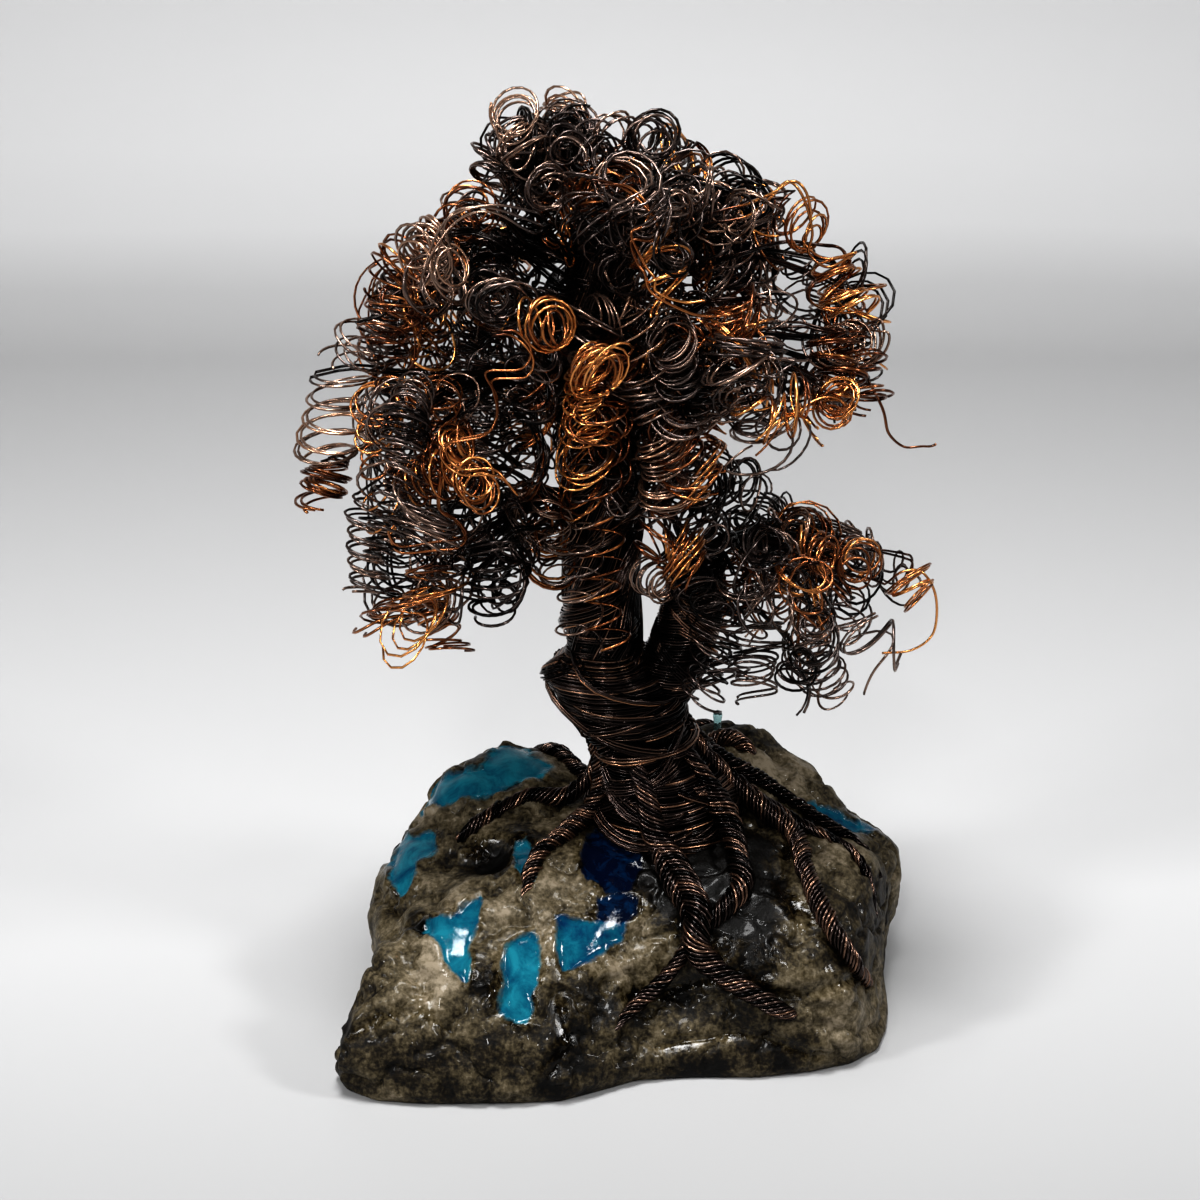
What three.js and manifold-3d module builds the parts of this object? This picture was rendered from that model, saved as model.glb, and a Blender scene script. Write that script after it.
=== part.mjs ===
// A wire tree on a sculpted rock. Twisted copper wire makes the roots, the wrapped trunk and the
// branches, and every branch ends in coiled wires that hang like the foliage of a weeping tree.
// Millimetres, +Z up. The origin is the middle of the rock's flat underside, and -Y is the front.

import * as THREE from "three";
import { mergeVertices } from "three/addons/utils/BufferGeometryUtils.js";
import Module from "manifold-3d";

// Rock: how far its footprint reaches from the origin, and how high it stands at the trunk's foot
const ROCK_LEFT = 86;
const ROCK_RIGHT = 90;
const ROCK_FRONT = 70;
const ROCK_BACK = 68;
const ROCK_HEIGHT = 60;
const ROCK_RIM_HEIGHT = 4;
const ROCK_RIM_INSET = 3;
const ROCK_SECTORS = 36;
const ROCK_RINGS = 13;
const UNDERSIDE_MARK = -2;

// How full the mound's slopes are: 1 is a cone, 2 a dome, and more a block with a flat top
const SLOPE_FRONT = 1.5;
const SLOPE_BACK = 3;

// Trunk: where its foot stands, how far it leans to its own middle line higher up, its top, and
// the radius of the wrapped bundle at its foot, waist, burr, stem and top
const FOOT_X = 10;
const FOOT_Y = 8;
const FOOT_DEPTH = 12;
const TRUNK_LEAN = 20;
const TRUNK_TOP = 264;
const BURR_TOP = 117;
const BURR_SHOULDER = 5;
const FOOT_RADIUS = 25;
const WAIST_RADIUS = 17.5;
const BURR_RADIUS = 20.5;
const STEM_RADIUS = 12.8;
const TOP_RADIUS = 9;
const TAPER_FROM = 0.6;

// The spiral swell of the trunk's wraps, and how finely the trunk is faceted
const WRAP_DEPTH = 0.07;
const WRAP_PITCH = 34;
const TRUNK_SIDES = 10;
const TRUNK_STEPS = 24;

// Stub: the low branch that leaves the burr on the right. It starts inside the burr, as far below
// its top and left of the stub's own line as given, and comes towards the front as it rises
const STUB_RADIUS = 10;
const STUB_REACH = 22;
const STUB_TOP = 152;
const STUB_BELOW = 17;
const STUB_INSIDE = 18;
const STUB_FORWARD = 4;
const STUB_KNEE = 0.38;
const STUB_FLARE = 1.1;
const STUB_TAPER = 0.85;
const STUB_SIDES = 8;
const STUB_STEPS = 5;

// Roots: the thickest one's radius, how high on the trunk's foot they start, where along them they
// come down to the rock, how deep they bed in it and how thin they end as shares of their radius
const ROOT_RADIUS = 5.6;
const ROOT_RISE = 17;
const ROOT_INSIDE = 0.25;
const ROOT_TOP_AT = -0.2;
const ROOT_DOWN_AT = 0.45;
const ROOT_BED = 0.35;
const ROOT_TIP = 0.62;
const ROOT_SPANS = 11;

// A root's cable: its strands, how far they stand out, the length of one turn of their lay, and how
// finely it is faceted
const CABLE_STRANDS = 3;
const CABLE_RELIEF = 0.22;
const CABLE_LAY = 60;
const CABLE_STEPS = 6;

// Canopy: half its width, and the radius of a branch where it leaves the trunk and at its tip
const CANOPY_HALF_WIDTH = 92;
const BRANCH_RADIUS = 5;
const BRANCH_TIP_RADIUS = 2.4;
const BRANCH_SIDES = 5;
const BRANCH_STEPS = 3;

// Coils: their mean radius, rise and steps for each turn, how far out and up they arch before they
// hang as shares of their radius, and the radius and sides of the strand of wires that is coiled
const COIL_RADIUS = 8;
const COIL_PITCH = 13;
const COIL_STEPS = 4.8;
const COIL_OUT = 2;
const COIL_UP = 1.4;
const STRAND_RADIUS = 1.3;
const STRAND_SIDES = 3;

// Peg on the right-hand peak of the rock, placed by shares of the rock's reach
const PEG_ACROSS = 0.33;
const PEG_ALONG = 0.5;
const PEG_RADIUS = 1.6;
const PEG_HEIGHT = 8;
const PEG_SIDES = 12;
const PEG_HEAD_STEPS = 4;

// Pieces that touch keep this gap
const CLEARANCE = 0.3;

const wasm = await Module();
wasm.setup();

const stone = new THREE.MeshStandardMaterial({ color: 0x6a6251, roughness: 0.35, metalness: 0 });
const wire = new THREE.MeshStandardMaterial({ color: 0x2a1a12, roughness: 0.35, metalness: 0.8 });
const copper = new THREE.MeshStandardMaterial({ color: 0x8a4a1e, roughness: 0.3, metalness: 0.9 });
const clear = new THREE.MeshStandardMaterial({ color: 0x8fb5b0, roughness: 0.1, metalness: 0 });

// A closed three.js geometry as a solid that can be cut and joined
function solidOf(geometry) {
  const bare = new THREE.BufferGeometry();
  bare.setAttribute("position", geometry.getAttribute("position").clone());
  if (geometry.index) bare.setIndex(geometry.index.clone());
  const merged = mergeVertices(bare, 1e-3);
  return new wasm.Manifold(
    new wasm.Mesh({
      numProp: 3,
      vertProperties: merged.attributes.position.array,
      triVerts: new Uint32Array(merged.index.array),
    }),
  );
}

// A solid back as a named mesh
function meshOf(solid, name, material) {
  const mesh = solid.getMesh();
  const geometry = new THREE.BufferGeometry();
  geometry.setAttribute("position", new THREE.BufferAttribute(mesh.vertProperties, 3));
  geometry.setIndex(new THREE.BufferAttribute(mesh.triVerts, 1));
  geometry.computeVertexNormals();
  const made = new THREE.Mesh(geometry, material);
  made.name = name;
  return made;
}

// Moves every vertex of a geometry to where place(x, y, z) says
function moved(geometry, place) {
  const position = geometry.getAttribute("position");
  for (let i = 0; i < position.count; i++) {
    const p = place(position.getX(i), position.getY(i), position.getZ(i));
    position.setXYZ(i, p.x, p.y, p.z);
  }
  return geometry;
}

// Rock

// The edge of the footprint, walked from the right towards the back, as shares of its reach
const FOOTPRINT = [
  [0.98, 0.12],
  [1.0, 0.45],
  [0.84, 0.85],
  [0.38, 1.0],
  [-0.2, 0.97],
  [-0.62, 0.9],
  [-0.93, 0.5],
  [-0.97, -0.05],
  [-0.93, -0.45],
  [-1.05, -0.8],
  [-0.86, -1.02],
  [-0.3, -1.03],
  [0.02, -0.86],
  [0.5, -0.82],
  [0.86, -0.66],
  [0.96, -0.3],
];

// The stone's lumps and hollows: a place as shares of the reach and height, and as shares of the
// height the radius that it covers and how far it stands out of the plain mound, or in if negative
const LUMPS = [
  { at: [-0.95, -0.82, 0.25], radius: 0.3, out: 0.17 }, // the toe at the front left
  { at: [-0.38, 0.5, 1.0], radius: 0.33, out: 0.22 }, // the left-hand peak
  { at: [-0.62, 0.42, 0.95], radius: 0.33, out: 0.17 }, // the block beside it
  { at: [0.31, 0.56, 1.08], radius: 0.4, out: 0.42 }, // the right-hand peak
  { at: [0.6, 0.5, 0.95], radius: 0.33, out: 0.15 }, // the slope behind the right-hand roots
  { at: [-0.85, 0.05, 0.6], radius: 0.3, out: 0.1 }, // the left shoulder
  { at: [-0.85, -0.3, 0.45], radius: 0.3, out: 0.12 }, // the bulge below the shoulder
  { at: [-0.6, -0.7, 0.45], radius: 0.23, out: -0.07 }, // the hollow above the toe
  { at: [-0.25, -0.85, 0.25], radius: 0.27, out: 0.08 }, // the front corner
  { at: [0.72, -0.1, 0.72], radius: 0.27, out: 0.13 }, // the boulder on the right
  { at: [0.95, 0.3, 0.5], radius: 0.27, out: 0.07 }, // the right edge
  { at: [0.5, -0.6, 0.5], radius: 0.33, out: 0.1 }, // the front right lobe
  { at: [0.12, -0.62, 0.4], radius: 0.25, out: -0.1 }, // the gully between the front roots
  { at: [-0.08, 0.72, 0.95], radius: 0.25, out: -0.13 }, // the saddle behind the trunk
];

const edgeShares = new THREE.CatmullRomCurve3(
  FOOTPRINT.map(([across, along]) => new THREE.Vector3(across, along, 0)),
  true,
);

// A point from shares of the rock's reach on each side and of its height
function rockPlace(across, along, up) {
  return new THREE.Vector3(
    across * (across > 0 ? ROCK_RIGHT : ROCK_LEFT),
    along * (along > 0 ? ROCK_BACK : ROCK_FRONT),
    up * ROCK_HEIGHT,
  );
}

// A point of the plain mound: sector runs round the edge and climb down from the top, both 0 to 1
function moundPoint(sector, climb) {
  const edge = edgeShares.getPoint(sector);
  const frontness = 0.5 - (0.5 * edge.y) / edge.length();
  const fullness = SLOPE_BACK + (SLOPE_FRONT - SLOPE_BACK) * frontness ** 2;
  const out = Math.sin((climb * Math.PI) / 2) ** (2 / fullness);
  const up = Math.cos((climb * Math.PI) / 2) ** (2 / fullness);
  const point = rockPlace(edge.x * out, edge.y * out, 0);
  return point.setZ(ROCK_RIM_HEIGHT + (ROCK_HEIGHT - ROCK_RIM_HEIGHT) * up);
}

// The mound with its lumps: each one pushes the skin out along the mound's own slope
function lumpy(point) {
  const outward = new THREE.Vector3(
    point.x / ROCK_RIGHT ** 2,
    point.y / ROCK_BACK ** 2,
    point.z / ROCK_HEIGHT ** 2,
  ).normalize();
  let push = 0;
  for (const { at, radius, out } of LUMPS) {
    const away = rockPlace(...at).distanceTo(point) / (radius * ROCK_HEIGHT);
    push += out * ROCK_HEIGHT * Math.exp(-(away ** 2));
  }
  return point.clone().addScaledVector(outward, push);
}

// The stone's skin: a lathe's sectors and rings, moved out to the mound, and a flat underside
function rockGeometry() {
  const rings = Array.from({ length: ROCK_RINGS + 1 }, (_, ring) => 1 - ring / ROCK_RINGS);
  const profile = [new THREE.Vector2(0, UNDERSIDE_MARK), new THREE.Vector2(1, UNDERSIDE_MARK)];
  profile.push(...rings.map((climb) => new THREE.Vector2(climb, -climb)));
  return moved(new THREE.LatheGeometry(profile, ROCK_SECTORS), (x, y, z) => {
    const sector = (Math.atan2(-z, x) / (2 * Math.PI) + 1) % 1;
    const climb = Math.min(1, Math.hypot(x, z));
    const point = lumpy(moundPoint(sector, climb));
    const inset = climb * (1 - ROCK_RIM_INSET / ROCK_RIGHT);
    if (y === UNDERSIDE_MARK) return point.setZ(0).multiplyScalar(inset);
    return climb > 1 - 1e-6 ? point.setZ(ROCK_RIM_HEIGHT) : point;
  });
}

const rock = solidOf(rockGeometry());
const rockMesh = meshOf(rock, "rock_base", stone);
const rockCut = rock.scale(1 + CLEARANCE / ROCK_HEIGHT);
const plumb = new THREE.Raycaster();

// How high the rock stands at a place, or its rim's height past the edge
function rockHeight(x, y) {
  plumb.set(new THREE.Vector3(x, y, 2 * ROCK_HEIGHT), new THREE.Vector3(0, 0, -1));
  const hits = plumb.intersectObject(rockMesh);
  return hits.length ? hits[0].point.z : ROCK_RIM_HEIGHT;
}

// Wire

// A cylinder bent along a curve, closed at both ends. radiusAt(u, side) is its radius at a share of
// its length and at one of its sides, and turns is how often the sides wind round it
function sweep(curve, radiusAt, sides, steps, turns = 0) {
  const frames = curve.computeFrenetFrames(steps, false);
  return moved(new THREE.CylinderGeometry(1, 1, 1, sides, steps), (x, y, z) => {
    const step = Math.round((0.5 - y) * steps);
    const u = step / steps;
    const plain = Math.atan2(z, x);
    const side = Math.round((plain / (2 * Math.PI)) * sides + sides) % sides;
    const out = Math.hypot(x, z) * radiusAt(u, side);
    const angle = plain + turns * 2 * Math.PI * u;
    return curve
      .getPointAt(u)
      .addScaledVector(frames.normals[step], Math.cos(angle) * out)
      .addScaledVector(frames.binormals[step], Math.sin(angle) * out);
  });
}

const smooth = THREE.MathUtils.smoothstep;
const mix = THREE.MathUtils.lerp;

// The trunk's middle line: it leans over from the foot and then stands upright
function trunkPoint(height) {
  const lean = TRUNK_LEAN * smooth(height, ROCK_HEIGHT + FOOT_DEPTH, BURR_TOP);
  return new THREE.Vector3(FOOT_X - lean, FOOT_Y, height);
}

// The trunk's radius: a broad foot, a burr, a step in to the stem, and a slow taper to the top
function trunkRadius(height) {
  const waist = (BURR_TOP + ROCK_HEIGHT) / 2;
  const base = mix(FOOT_RADIUS, WAIST_RADIUS, smooth(height, ROCK_HEIGHT, waist));
  const burr = mix(base, BURR_RADIUS, smooth(height, waist, BURR_TOP - STEM_RADIUS));
  const shoulder = smooth(height, BURR_TOP - BURR_SHOULDER, BURR_TOP + BURR_SHOULDER);
  const stem = mix(burr, STEM_RADIUS, shoulder);
  return mix(stem, TOP_RADIUS, smooth(height, mix(BURR_TOP, TRUNK_TOP, TAPER_FROM), TRUNK_TOP));
}

// The wrapped bundle, grown by a gap: its skin swells in a slow spiral where the wraps lie
function trunkGeometry(gap) {
  const bottom = ROCK_HEIGHT - FOOT_DEPTH;
  const top = TRUNK_TOP + gap;
  const spans = TRUNK_STEPS / 2;
  const stations = Array.from({ length: spans + 1 }, (_, i) => trunkPoint(mix(bottom, top, i / spans)));
  const radiusAt = (u, side) => {
    const height = mix(bottom, top, u);
    const phase = 2 * Math.PI * (side / TRUNK_SIDES - height / WRAP_PITCH);
    return trunkRadius(height) * (1 + WRAP_DEPTH * Math.cos(phase)) + gap;
  };
  return sweep(new THREE.CatmullRomCurve3(stations), radiusAt, TRUNK_SIDES, TRUNK_STEPS);
}

// The stub leaves the burr and rises to the right; its end stands higher by a gap
function stubCurve(gap) {
  const start = new THREE.Vector3(STUB_REACH - STUB_INSIDE, FOOT_Y, BURR_TOP - STUB_BELOW);
  const end = new THREE.Vector3(STUB_REACH, FOOT_Y - STUB_FORWARD, STUB_TOP + gap);
  const knee = new THREE.Vector3(STUB_REACH, FOOT_Y - STUB_FORWARD / 2, mix(start.z, end.z, STUB_KNEE));
  return new THREE.QuadraticBezierCurve3(start, knee, end);
}

function stubGeometry(gap) {
  const radiusAt = (u) => mix(STUB_FLARE, STUB_TAPER, u) * STUB_RADIUS + gap;
  return sweep(stubCurve(gap), radiusAt, STUB_SIDES, STUB_STEPS);
}

// Roots: the place that each passes and the place where it ends, as shares of the rock's reach, and
// how thick it is as a share of the thickest
const ROOTS = [
  { by: [-0.36, 0.14], end: [-0.66, 0.02], girth: 0.61 }, // left
  { by: [-0.26, -0.14], end: [-0.4, -0.52], girth: 0.7 }, // front left
  { by: [0.18, -0.42], end: [0.56, -0.78], girth: 1 }, // front, the thickest
  { by: [0.15, -0.45], end: [-0.07, -0.84], girth: 0.54 }, // its fork
  { by: [0.48, -0.26], end: [0.36, -0.6], girth: 0.8 }, // front right, curling in
  { by: [0.6, -0.18], end: [0.84, -0.52], girth: 0.68 }, // right, down the slope
  { by: [0.6, 0.22], end: [0.97, -0.08], girth: 0.5 }, // right, over the edge
  { by: [0.66, 0.02], end: [0.95, -0.26], girth: 0.46 }, // right, beside it
  { by: [0.3, 0.42], end: [0.46, 0.4], girth: 0.79 }, // knuckle on the peak
  { by: [0.12, 0.5], end: [0.4, 0.84], girth: 0.61 }, // back right
  { by: [-0.2, 0.42], end: [-0.42, 0.8], girth: 0.64 }, // back left
];

// A root's cable: it starts in the trunk's foot, comes down to the rock and follows its skin
function rootGeometry({ by, end, girth }) {
  const plan = new THREE.CatmullRomCurve3([
    new THREE.Vector3(FOOT_X, FOOT_Y, 0).lerp(rockPlace(...by, 0), ROOT_INSIDE),
    rockPlace(...by, 0),
    rockPlace(...end, 0),
  ]);
  const radius = (u) => mix(1, ROOT_TIP, u) * girth * ROOT_RADIUS;
  const stations = Array.from({ length: ROOT_SPANS + 1 }, (_, i) => {
    const u = i / ROOT_SPANS;
    const point = plan.getPoint(u);
    const above = ROOT_RISE * (1 - smooth(u, ROOT_TOP_AT, ROOT_DOWN_AT));
    return point.setZ(rockHeight(point.x, point.y) + (1 - ROOT_BED) * radius(u) + above);
  });
  const route = new THREE.CatmullRomCurve3(stations);
  const turns = route.getLength() / CABLE_LAY;
  const strand = (u, side) => radius(u) * (side % 2 ? 1 - CABLE_RELIEF : 1);
  return sweep(route, strand, 2 * CABLE_STRANDS, Math.ceil(CABLE_STEPS * turns), turns);
}

function trunkAndRoots() {
  let solid = solidOf(trunkGeometry(0)).add(solidOf(stubGeometry(0)));
  for (const root of ROOTS) solid = solid.add(solidOf(rootGeometry(root)));
  return solid.subtract(rockCut);
}

// Branches: the way each grows in degrees from the right towards the back, how high it leaves the
// trunk as a share of its top, its reach as a share of the canopy's half-width, how far its tip
// lifts and its middle arches as shares of that reach, how many coils hang from it and their turns,
// how many degrees from it the first one turns and how far they spread, as a share of its reach
const BRANCHES = {
  crown_left: {
    toward: 162, height: 1, reach: 0.28, lift: 1, arch: 0.2,
    coils: 4, turns: 2.2, fan: 125, spread: 0.5,
  },
  crown_right: {
    toward: 0, height: 0.97, reach: 0.46, lift: 0.4, arch: 0.4,
    coils: 5, turns: 2.2, fan: 130, spread: 0.5,
  },
  upper_left: {
    toward: 166, height: 0.9, reach: 0.68, lift: -0.05, arch: 0.55,
    coils: 5, turns: 2.5, fan: 100, spread: 0.25,
  },
  left: {
    toward: 192, height: 0.78, reach: 0.74, lift: 0, arch: 0.25,
    coils: 5, turns: 3, fan: 100, spread: 0.2,
  },
  lower_left: {
    toward: 207, height: 0.64, reach: 0.66, lift: -0.1, arch: 0.3,
    coils: 4, turns: 3.1, fan: 100, spread: 0.2,
  },
  front: {
    toward: 266, height: 0.86, reach: 0.38, lift: 0.1, arch: 0.2,
    coils: 2, turns: 5, fan: 80, spread: 0,
  },
  front_right: {
    toward: 302, height: 0.74, reach: 0.36, lift: 0.1, arch: 0.2,
    coils: 2, turns: 4, fan: 80, spread: 0,
  },
  upper_right: {
    toward: 29, height: 0.91, reach: 0.8, lift: 0.05, arch: 0.25,
    coils: 5, turns: 2.8, fan: 100, spread: 0.25,
  },
  right: {
    toward: 338, height: 0.84, reach: 0.8, lift: -0.12, arch: 0.25,
    coils: 4, turns: 2.6, fan: 90, spread: 0.2,
  },
  back_right: {
    toward: 60, height: 0.76, reach: 0.6, lift: 0, arch: 0.3,
    coils: 3, turns: 3.1, fan: 90, spread: 0.1,
  },
  back_left: {
    toward: 118, height: 0.84, reach: 0.6, lift: 0, arch: 0.3,
    coils: 3, turns: 3.2, fan: 90, spread: 0.1,
  },
};
const LOW_BRANCH = {
  toward: -4, reach: 0.54, lift: -0.1, arch: 0.45,
  coils: 5, turns: 3.5, fan: 110, spread: 0.3,
};

// A strand wound round an axis that bends in an upright plane: its coil opens over the first turn
class Coil extends THREE.Curve {
  constructor(axis, across, turns) {
    super();
    Object.assign(this, { axis, across, turns, arcLengthDivisions: 60 * turns });
  }

  getPoint(t, target = new THREE.Vector3()) {
    const angle = 2 * Math.PI * this.turns * t;
    const radius = COIL_RADIUS * smooth(t * this.turns, 0, 1);
    const along = this.axis.getTangent(t);
    return target
      .copy(this.axis.getPoint(t))
      .addScaledVector(this.across, Math.cos(angle) * radius)
      .addScaledVector(along.cross(this.across), Math.sin(angle) * radius);
  }
}

function heading(degrees) {
  const angle = THREE.MathUtils.degToRad(degrees);
  return new THREE.Vector3(Math.cos(angle), Math.sin(angle), 0);
}

// A branch from its start, with coils that leave it to either side, less so towards its tip, and arch
// over and hang down. bare is how far from its start the first coil hangs, which is clear of what the
// branch grows from
function branchSolid(start, bare, { toward, reach, lift, arch, coils, turns, fan, spread }) {
  const length = reach * CANOPY_HALF_WIDTH;
  const up = new THREE.Vector3(0, 0, 1);
  const tip = start.clone().addScaledVector(heading(toward), length).addScaledVector(up, lift * length);
  const knee = start.clone().lerp(tip, 0.5).addScaledVector(up, arch * length);
  const wood = new THREE.QuadraticBezierCurve3(start, knee, tip);
  const thickness = (u) => mix(BRANCH_RADIUS, BRANCH_TIP_RADIUS, u);
  let solid = solidOf(sweep(wood, thickness, BRANCH_SIDES, BRANCH_STEPS));
  for (let i = 0; i < coils; i++) {
    const side = i === coils - 1 ? 0 : i % 2 ? 1 : -1;
    const out = heading(toward + side * fan * (1 - i / coils));
    const far = COIL_OUT * COIL_RADIUS + Math.abs(side) * spread * length;
    const from = wood.getPoint(mix(Math.min(1, bare / length), 1, i / (coils - 1)));
    const over = from.clone().addScaledVector(out, far);
    const end = over.clone().addScaledVector(up, COIL_OUT * COIL_RADIUS - turns * COIL_PITCH);
    over.addScaledVector(up, COIL_UP * COIL_RADIUS);
    const axis = new THREE.QuadraticBezierCurve3(from, over, end);
    const coil = new Coil(axis, new THREE.Vector3().crossVectors(out, up), turns);
    const steps = Math.ceil(COIL_STEPS * turns);
    solid = solid.add(solidOf(sweep(coil, () => STRAND_RADIUS, STRAND_SIDES, steps)));
  }
  return solid;
}

const group = new THREE.Group();
group.add(rockMesh);
group.add(meshOf(trunkAndRoots(), "trunk_and_roots", wire));

const trunkCut = solidOf(trunkGeometry(CLEARANCE));
for (const [name, branch] of Object.entries(BRANCHES)) {
  const solid = branchSolid(trunkPoint(branch.height * TRUNK_TOP), STEM_RADIUS + 2 * COIL_RADIUS, branch);
  group.add(meshOf(solid.subtract(trunkCut), `${name}_branch`, wire));
}
const stubCut = solidOf(stubGeometry(CLEARANCE));
const lowSolid = branchSolid(stubCurve(0).getPoint(1), STUB_RADIUS + COIL_RADIUS, LOW_BRANCH);
group.add(meshOf(lowSolid.subtract(stubCut), "lower_right_branch", copper));

// Peg: a clear round-headed pin that stands in the peak
function pegSolid() {
  const place = rockPlace(PEG_ACROSS, PEG_ALONG, 0);
  const foot = rockHeight(place.x, place.y);
  const profile = [new THREE.Vector2(0, -PEG_RADIUS), new THREE.Vector2(PEG_RADIUS, -PEG_RADIUS)];
  for (let i = 0; i < PEG_HEAD_STEPS; i++) {
    const angle = ((i / PEG_HEAD_STEPS) * Math.PI) / 2;
    const rise = PEG_HEIGHT - PEG_RADIUS * (1 - Math.sin(angle));
    profile.push(new THREE.Vector2(PEG_RADIUS * Math.cos(angle), rise));
  }
  profile.push(new THREE.Vector2(0, PEG_HEIGHT));
  const geometry = new THREE.LatheGeometry(profile, PEG_SIDES);
  return solidOf(moved(geometry, (x, y, z) => new THREE.Vector3(place.x + x, place.y - z, foot + y)));
}
group.add(meshOf(pegSolid().subtract(rockCut), "clear_peg", clear));

export default group;
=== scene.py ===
"""A wire tree on a sculpted rock: twisted copper wire for the roots, the wrapped trunk and the
branches, whose ends are coiled like the foliage of a weeping tree, on a stone with painted blue
pools under clear resin.

Sizes are millimetres in the part's own frame: +Z up, -Y the front, the origin in the middle of the
rock's flat underside. Meshes are scaled to metres when they are made.
"""

import math

import bpy
import numpy as np
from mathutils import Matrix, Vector, noise
from mathutils.bvhtree import BVHTree


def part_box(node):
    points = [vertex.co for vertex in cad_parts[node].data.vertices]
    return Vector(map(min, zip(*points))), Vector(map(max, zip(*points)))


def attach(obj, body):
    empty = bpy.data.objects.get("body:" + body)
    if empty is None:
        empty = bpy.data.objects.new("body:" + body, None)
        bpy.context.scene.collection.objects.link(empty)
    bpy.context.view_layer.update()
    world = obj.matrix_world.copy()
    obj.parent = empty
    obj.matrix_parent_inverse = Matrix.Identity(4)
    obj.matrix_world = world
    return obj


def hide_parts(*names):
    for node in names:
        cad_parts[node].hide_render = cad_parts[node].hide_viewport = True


MM = 0.001

# Camera: the photograph's place and tilt, and how far the trunk is from it along its view
CAMERA_AT = np.array([-10.0, -713.7, 399.1])
CAMERA_DOWN = math.radians(20)
CAMERA_LENS = 72
TRUNK_AWAY = 768
VIEW_AWAY = np.array([0, math.cos(CAMERA_DOWN), -math.sin(CAMERA_DOWN)])
VIEW_UP = np.array([0, math.sin(CAMERA_DOWN), math.cos(CAMERA_DOWN)])

# Rock, from the part: its reach on each side and its height at the trunk's foot
ROCK_LEFT, ROCK_RIGHT, ROCK_FRONT, ROCK_BACK = 86, 90, 70, 68
ROCK_HEIGHT = 60
ROCK_VOXEL = 1.15

# Trunk and stub, from the part
FOOT_X, FOOT_Y, FOOT_DEPTH = 10, 8, 12
TRUNK_LEAN, TRUNK_TOP, BURR_TOP, BURR_SHOULDER = 20, 264, 117, 5
FOOT_RADIUS, WAIST_RADIUS, BURR_RADIUS, STEM_RADIUS, TOP_RADIUS = 25, 17.5, 20.5, 12.8, 9
TAPER_FROM = 0.6
STUB_RADIUS, STUB_REACH, STUB_TOP = 10, 22, 152
STUB_BELOW, STUB_INSIDE, STUB_FORWARD = 17, 18, 4
STUB_KNEE, STUB_FLARE, STUB_TAPER = 0.38, 1.1, 0.85

# Roots, from the part
ROOT_RADIUS, ROOT_RISE, ROOT_INSIDE = 5.6, 17, 0.25
ROOT_TOP_AT, ROOT_DOWN_AT, ROOT_BED, ROOT_TIP = -0.2, 0.45, 0.35, 0.62

# Wire: the bound wires' radius, and the loose ones'
WIRE_RADIUS = 0.4
LOOSE_RADIUS = 0.46
WIRE_SPACING = 0.86
CANOPY_HALF_WIDTH = 92
COIL_RADIUS = 7.2

# How finely coils are drawn: points along a coil's axis, points along the way to it, steps a turn
AXIS_POINTS, LEAD_POINTS, STEPS_A_TURN = 90, 12, 19

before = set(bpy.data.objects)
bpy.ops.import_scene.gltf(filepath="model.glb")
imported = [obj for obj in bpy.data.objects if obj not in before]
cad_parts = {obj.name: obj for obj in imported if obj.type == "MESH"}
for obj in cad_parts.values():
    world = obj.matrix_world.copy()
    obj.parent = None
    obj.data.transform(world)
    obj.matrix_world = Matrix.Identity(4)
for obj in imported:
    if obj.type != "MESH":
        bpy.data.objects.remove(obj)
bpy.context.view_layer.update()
collection = bpy.context.scene.collection


# Small tools

def smooth(x, low, high):
    t = np.clip((np.asarray(x, float) - low) / (high - low), 0, 1)
    return t * t * (3 - 2 * t)


def mix(a, b, t):
    return a + (b - a) * t


def unit(v):
    return v / (np.linalg.norm(v, axis=-1, keepdims=True) + 1e-12)


def bezier(a, b, c, t):
    t = np.asarray(t)[:, None]
    return (1 - t) ** 2 * np.asarray(a) + 2 * t * (1 - t) * np.asarray(b) + t**2 * np.asarray(c)


def heading(degrees):
    angle = math.radians(degrees)
    return np.array([math.cos(angle), math.sin(angle), 0.0])


def seen(points):
    """Where points show from the camera: mm across and up from the middle of its view, at the
    trunk's distance."""
    ray = points - CAMERA_AT
    return np.stack([ray[:, 0], ray @ VIEW_UP], 1) * (TRUNK_AWAY / (ray @ VIEW_AWAY))[:, None]


def from_view(across, up, away):
    """The place, away mm behind the middle, that shows at mm across and up the view."""
    ray = TRUNK_AWAY * VIEW_AWAY + up * VIEW_UP + [across, 0, 0]
    return CAMERA_AT + ray * (away - CAMERA_AT[1]) / ray[1]


def rounded(path, steps):
    """A smooth curve through the points of a path."""
    ends = np.concatenate([[2 * path[0] - path[1]], path, [2 * path[-1] - path[-2]]])
    t = np.linspace(0, 1, steps, endpoint=False)[:, None]
    spans = [
        0.5 * (2 * b + (c - a) * t + (2 * a - 5 * b + 4 * c - d) * t**2 + (3 * b - a - 3 * c + d) * t**3)
        for a, b, c, d in zip(ends, ends[1:], ends[2:], ends[3:])
    ]
    return np.concatenate([*spans, path[-1:]])


def circling(turn, out, side, other):
    """The way from each point of a line to one that lies out mm from it, at a turn about it."""
    return (np.cos(turn) * out)[:, None] * side + (np.sin(turn) * out)[:, None] * other


def any_turn(rng):
    return rng.uniform(0, 6.3)


def wave(rng, t, low, high, size=None):
    """A sine along t, whose speed, between low and high, and start are random."""
    return np.sin(t * rng.uniform(low, high, size) + rng.uniform(0, 6, size))


def ring_faces(index):
    """Faces between rings of corners, which the index has as rows."""
    after = np.roll(index, -1, axis=-1)
    corners = [index[..., :-1, :], after[..., :-1, :], after[..., 1:, :], index[..., 1:, :]]
    return np.stack(corners, -1)


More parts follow.
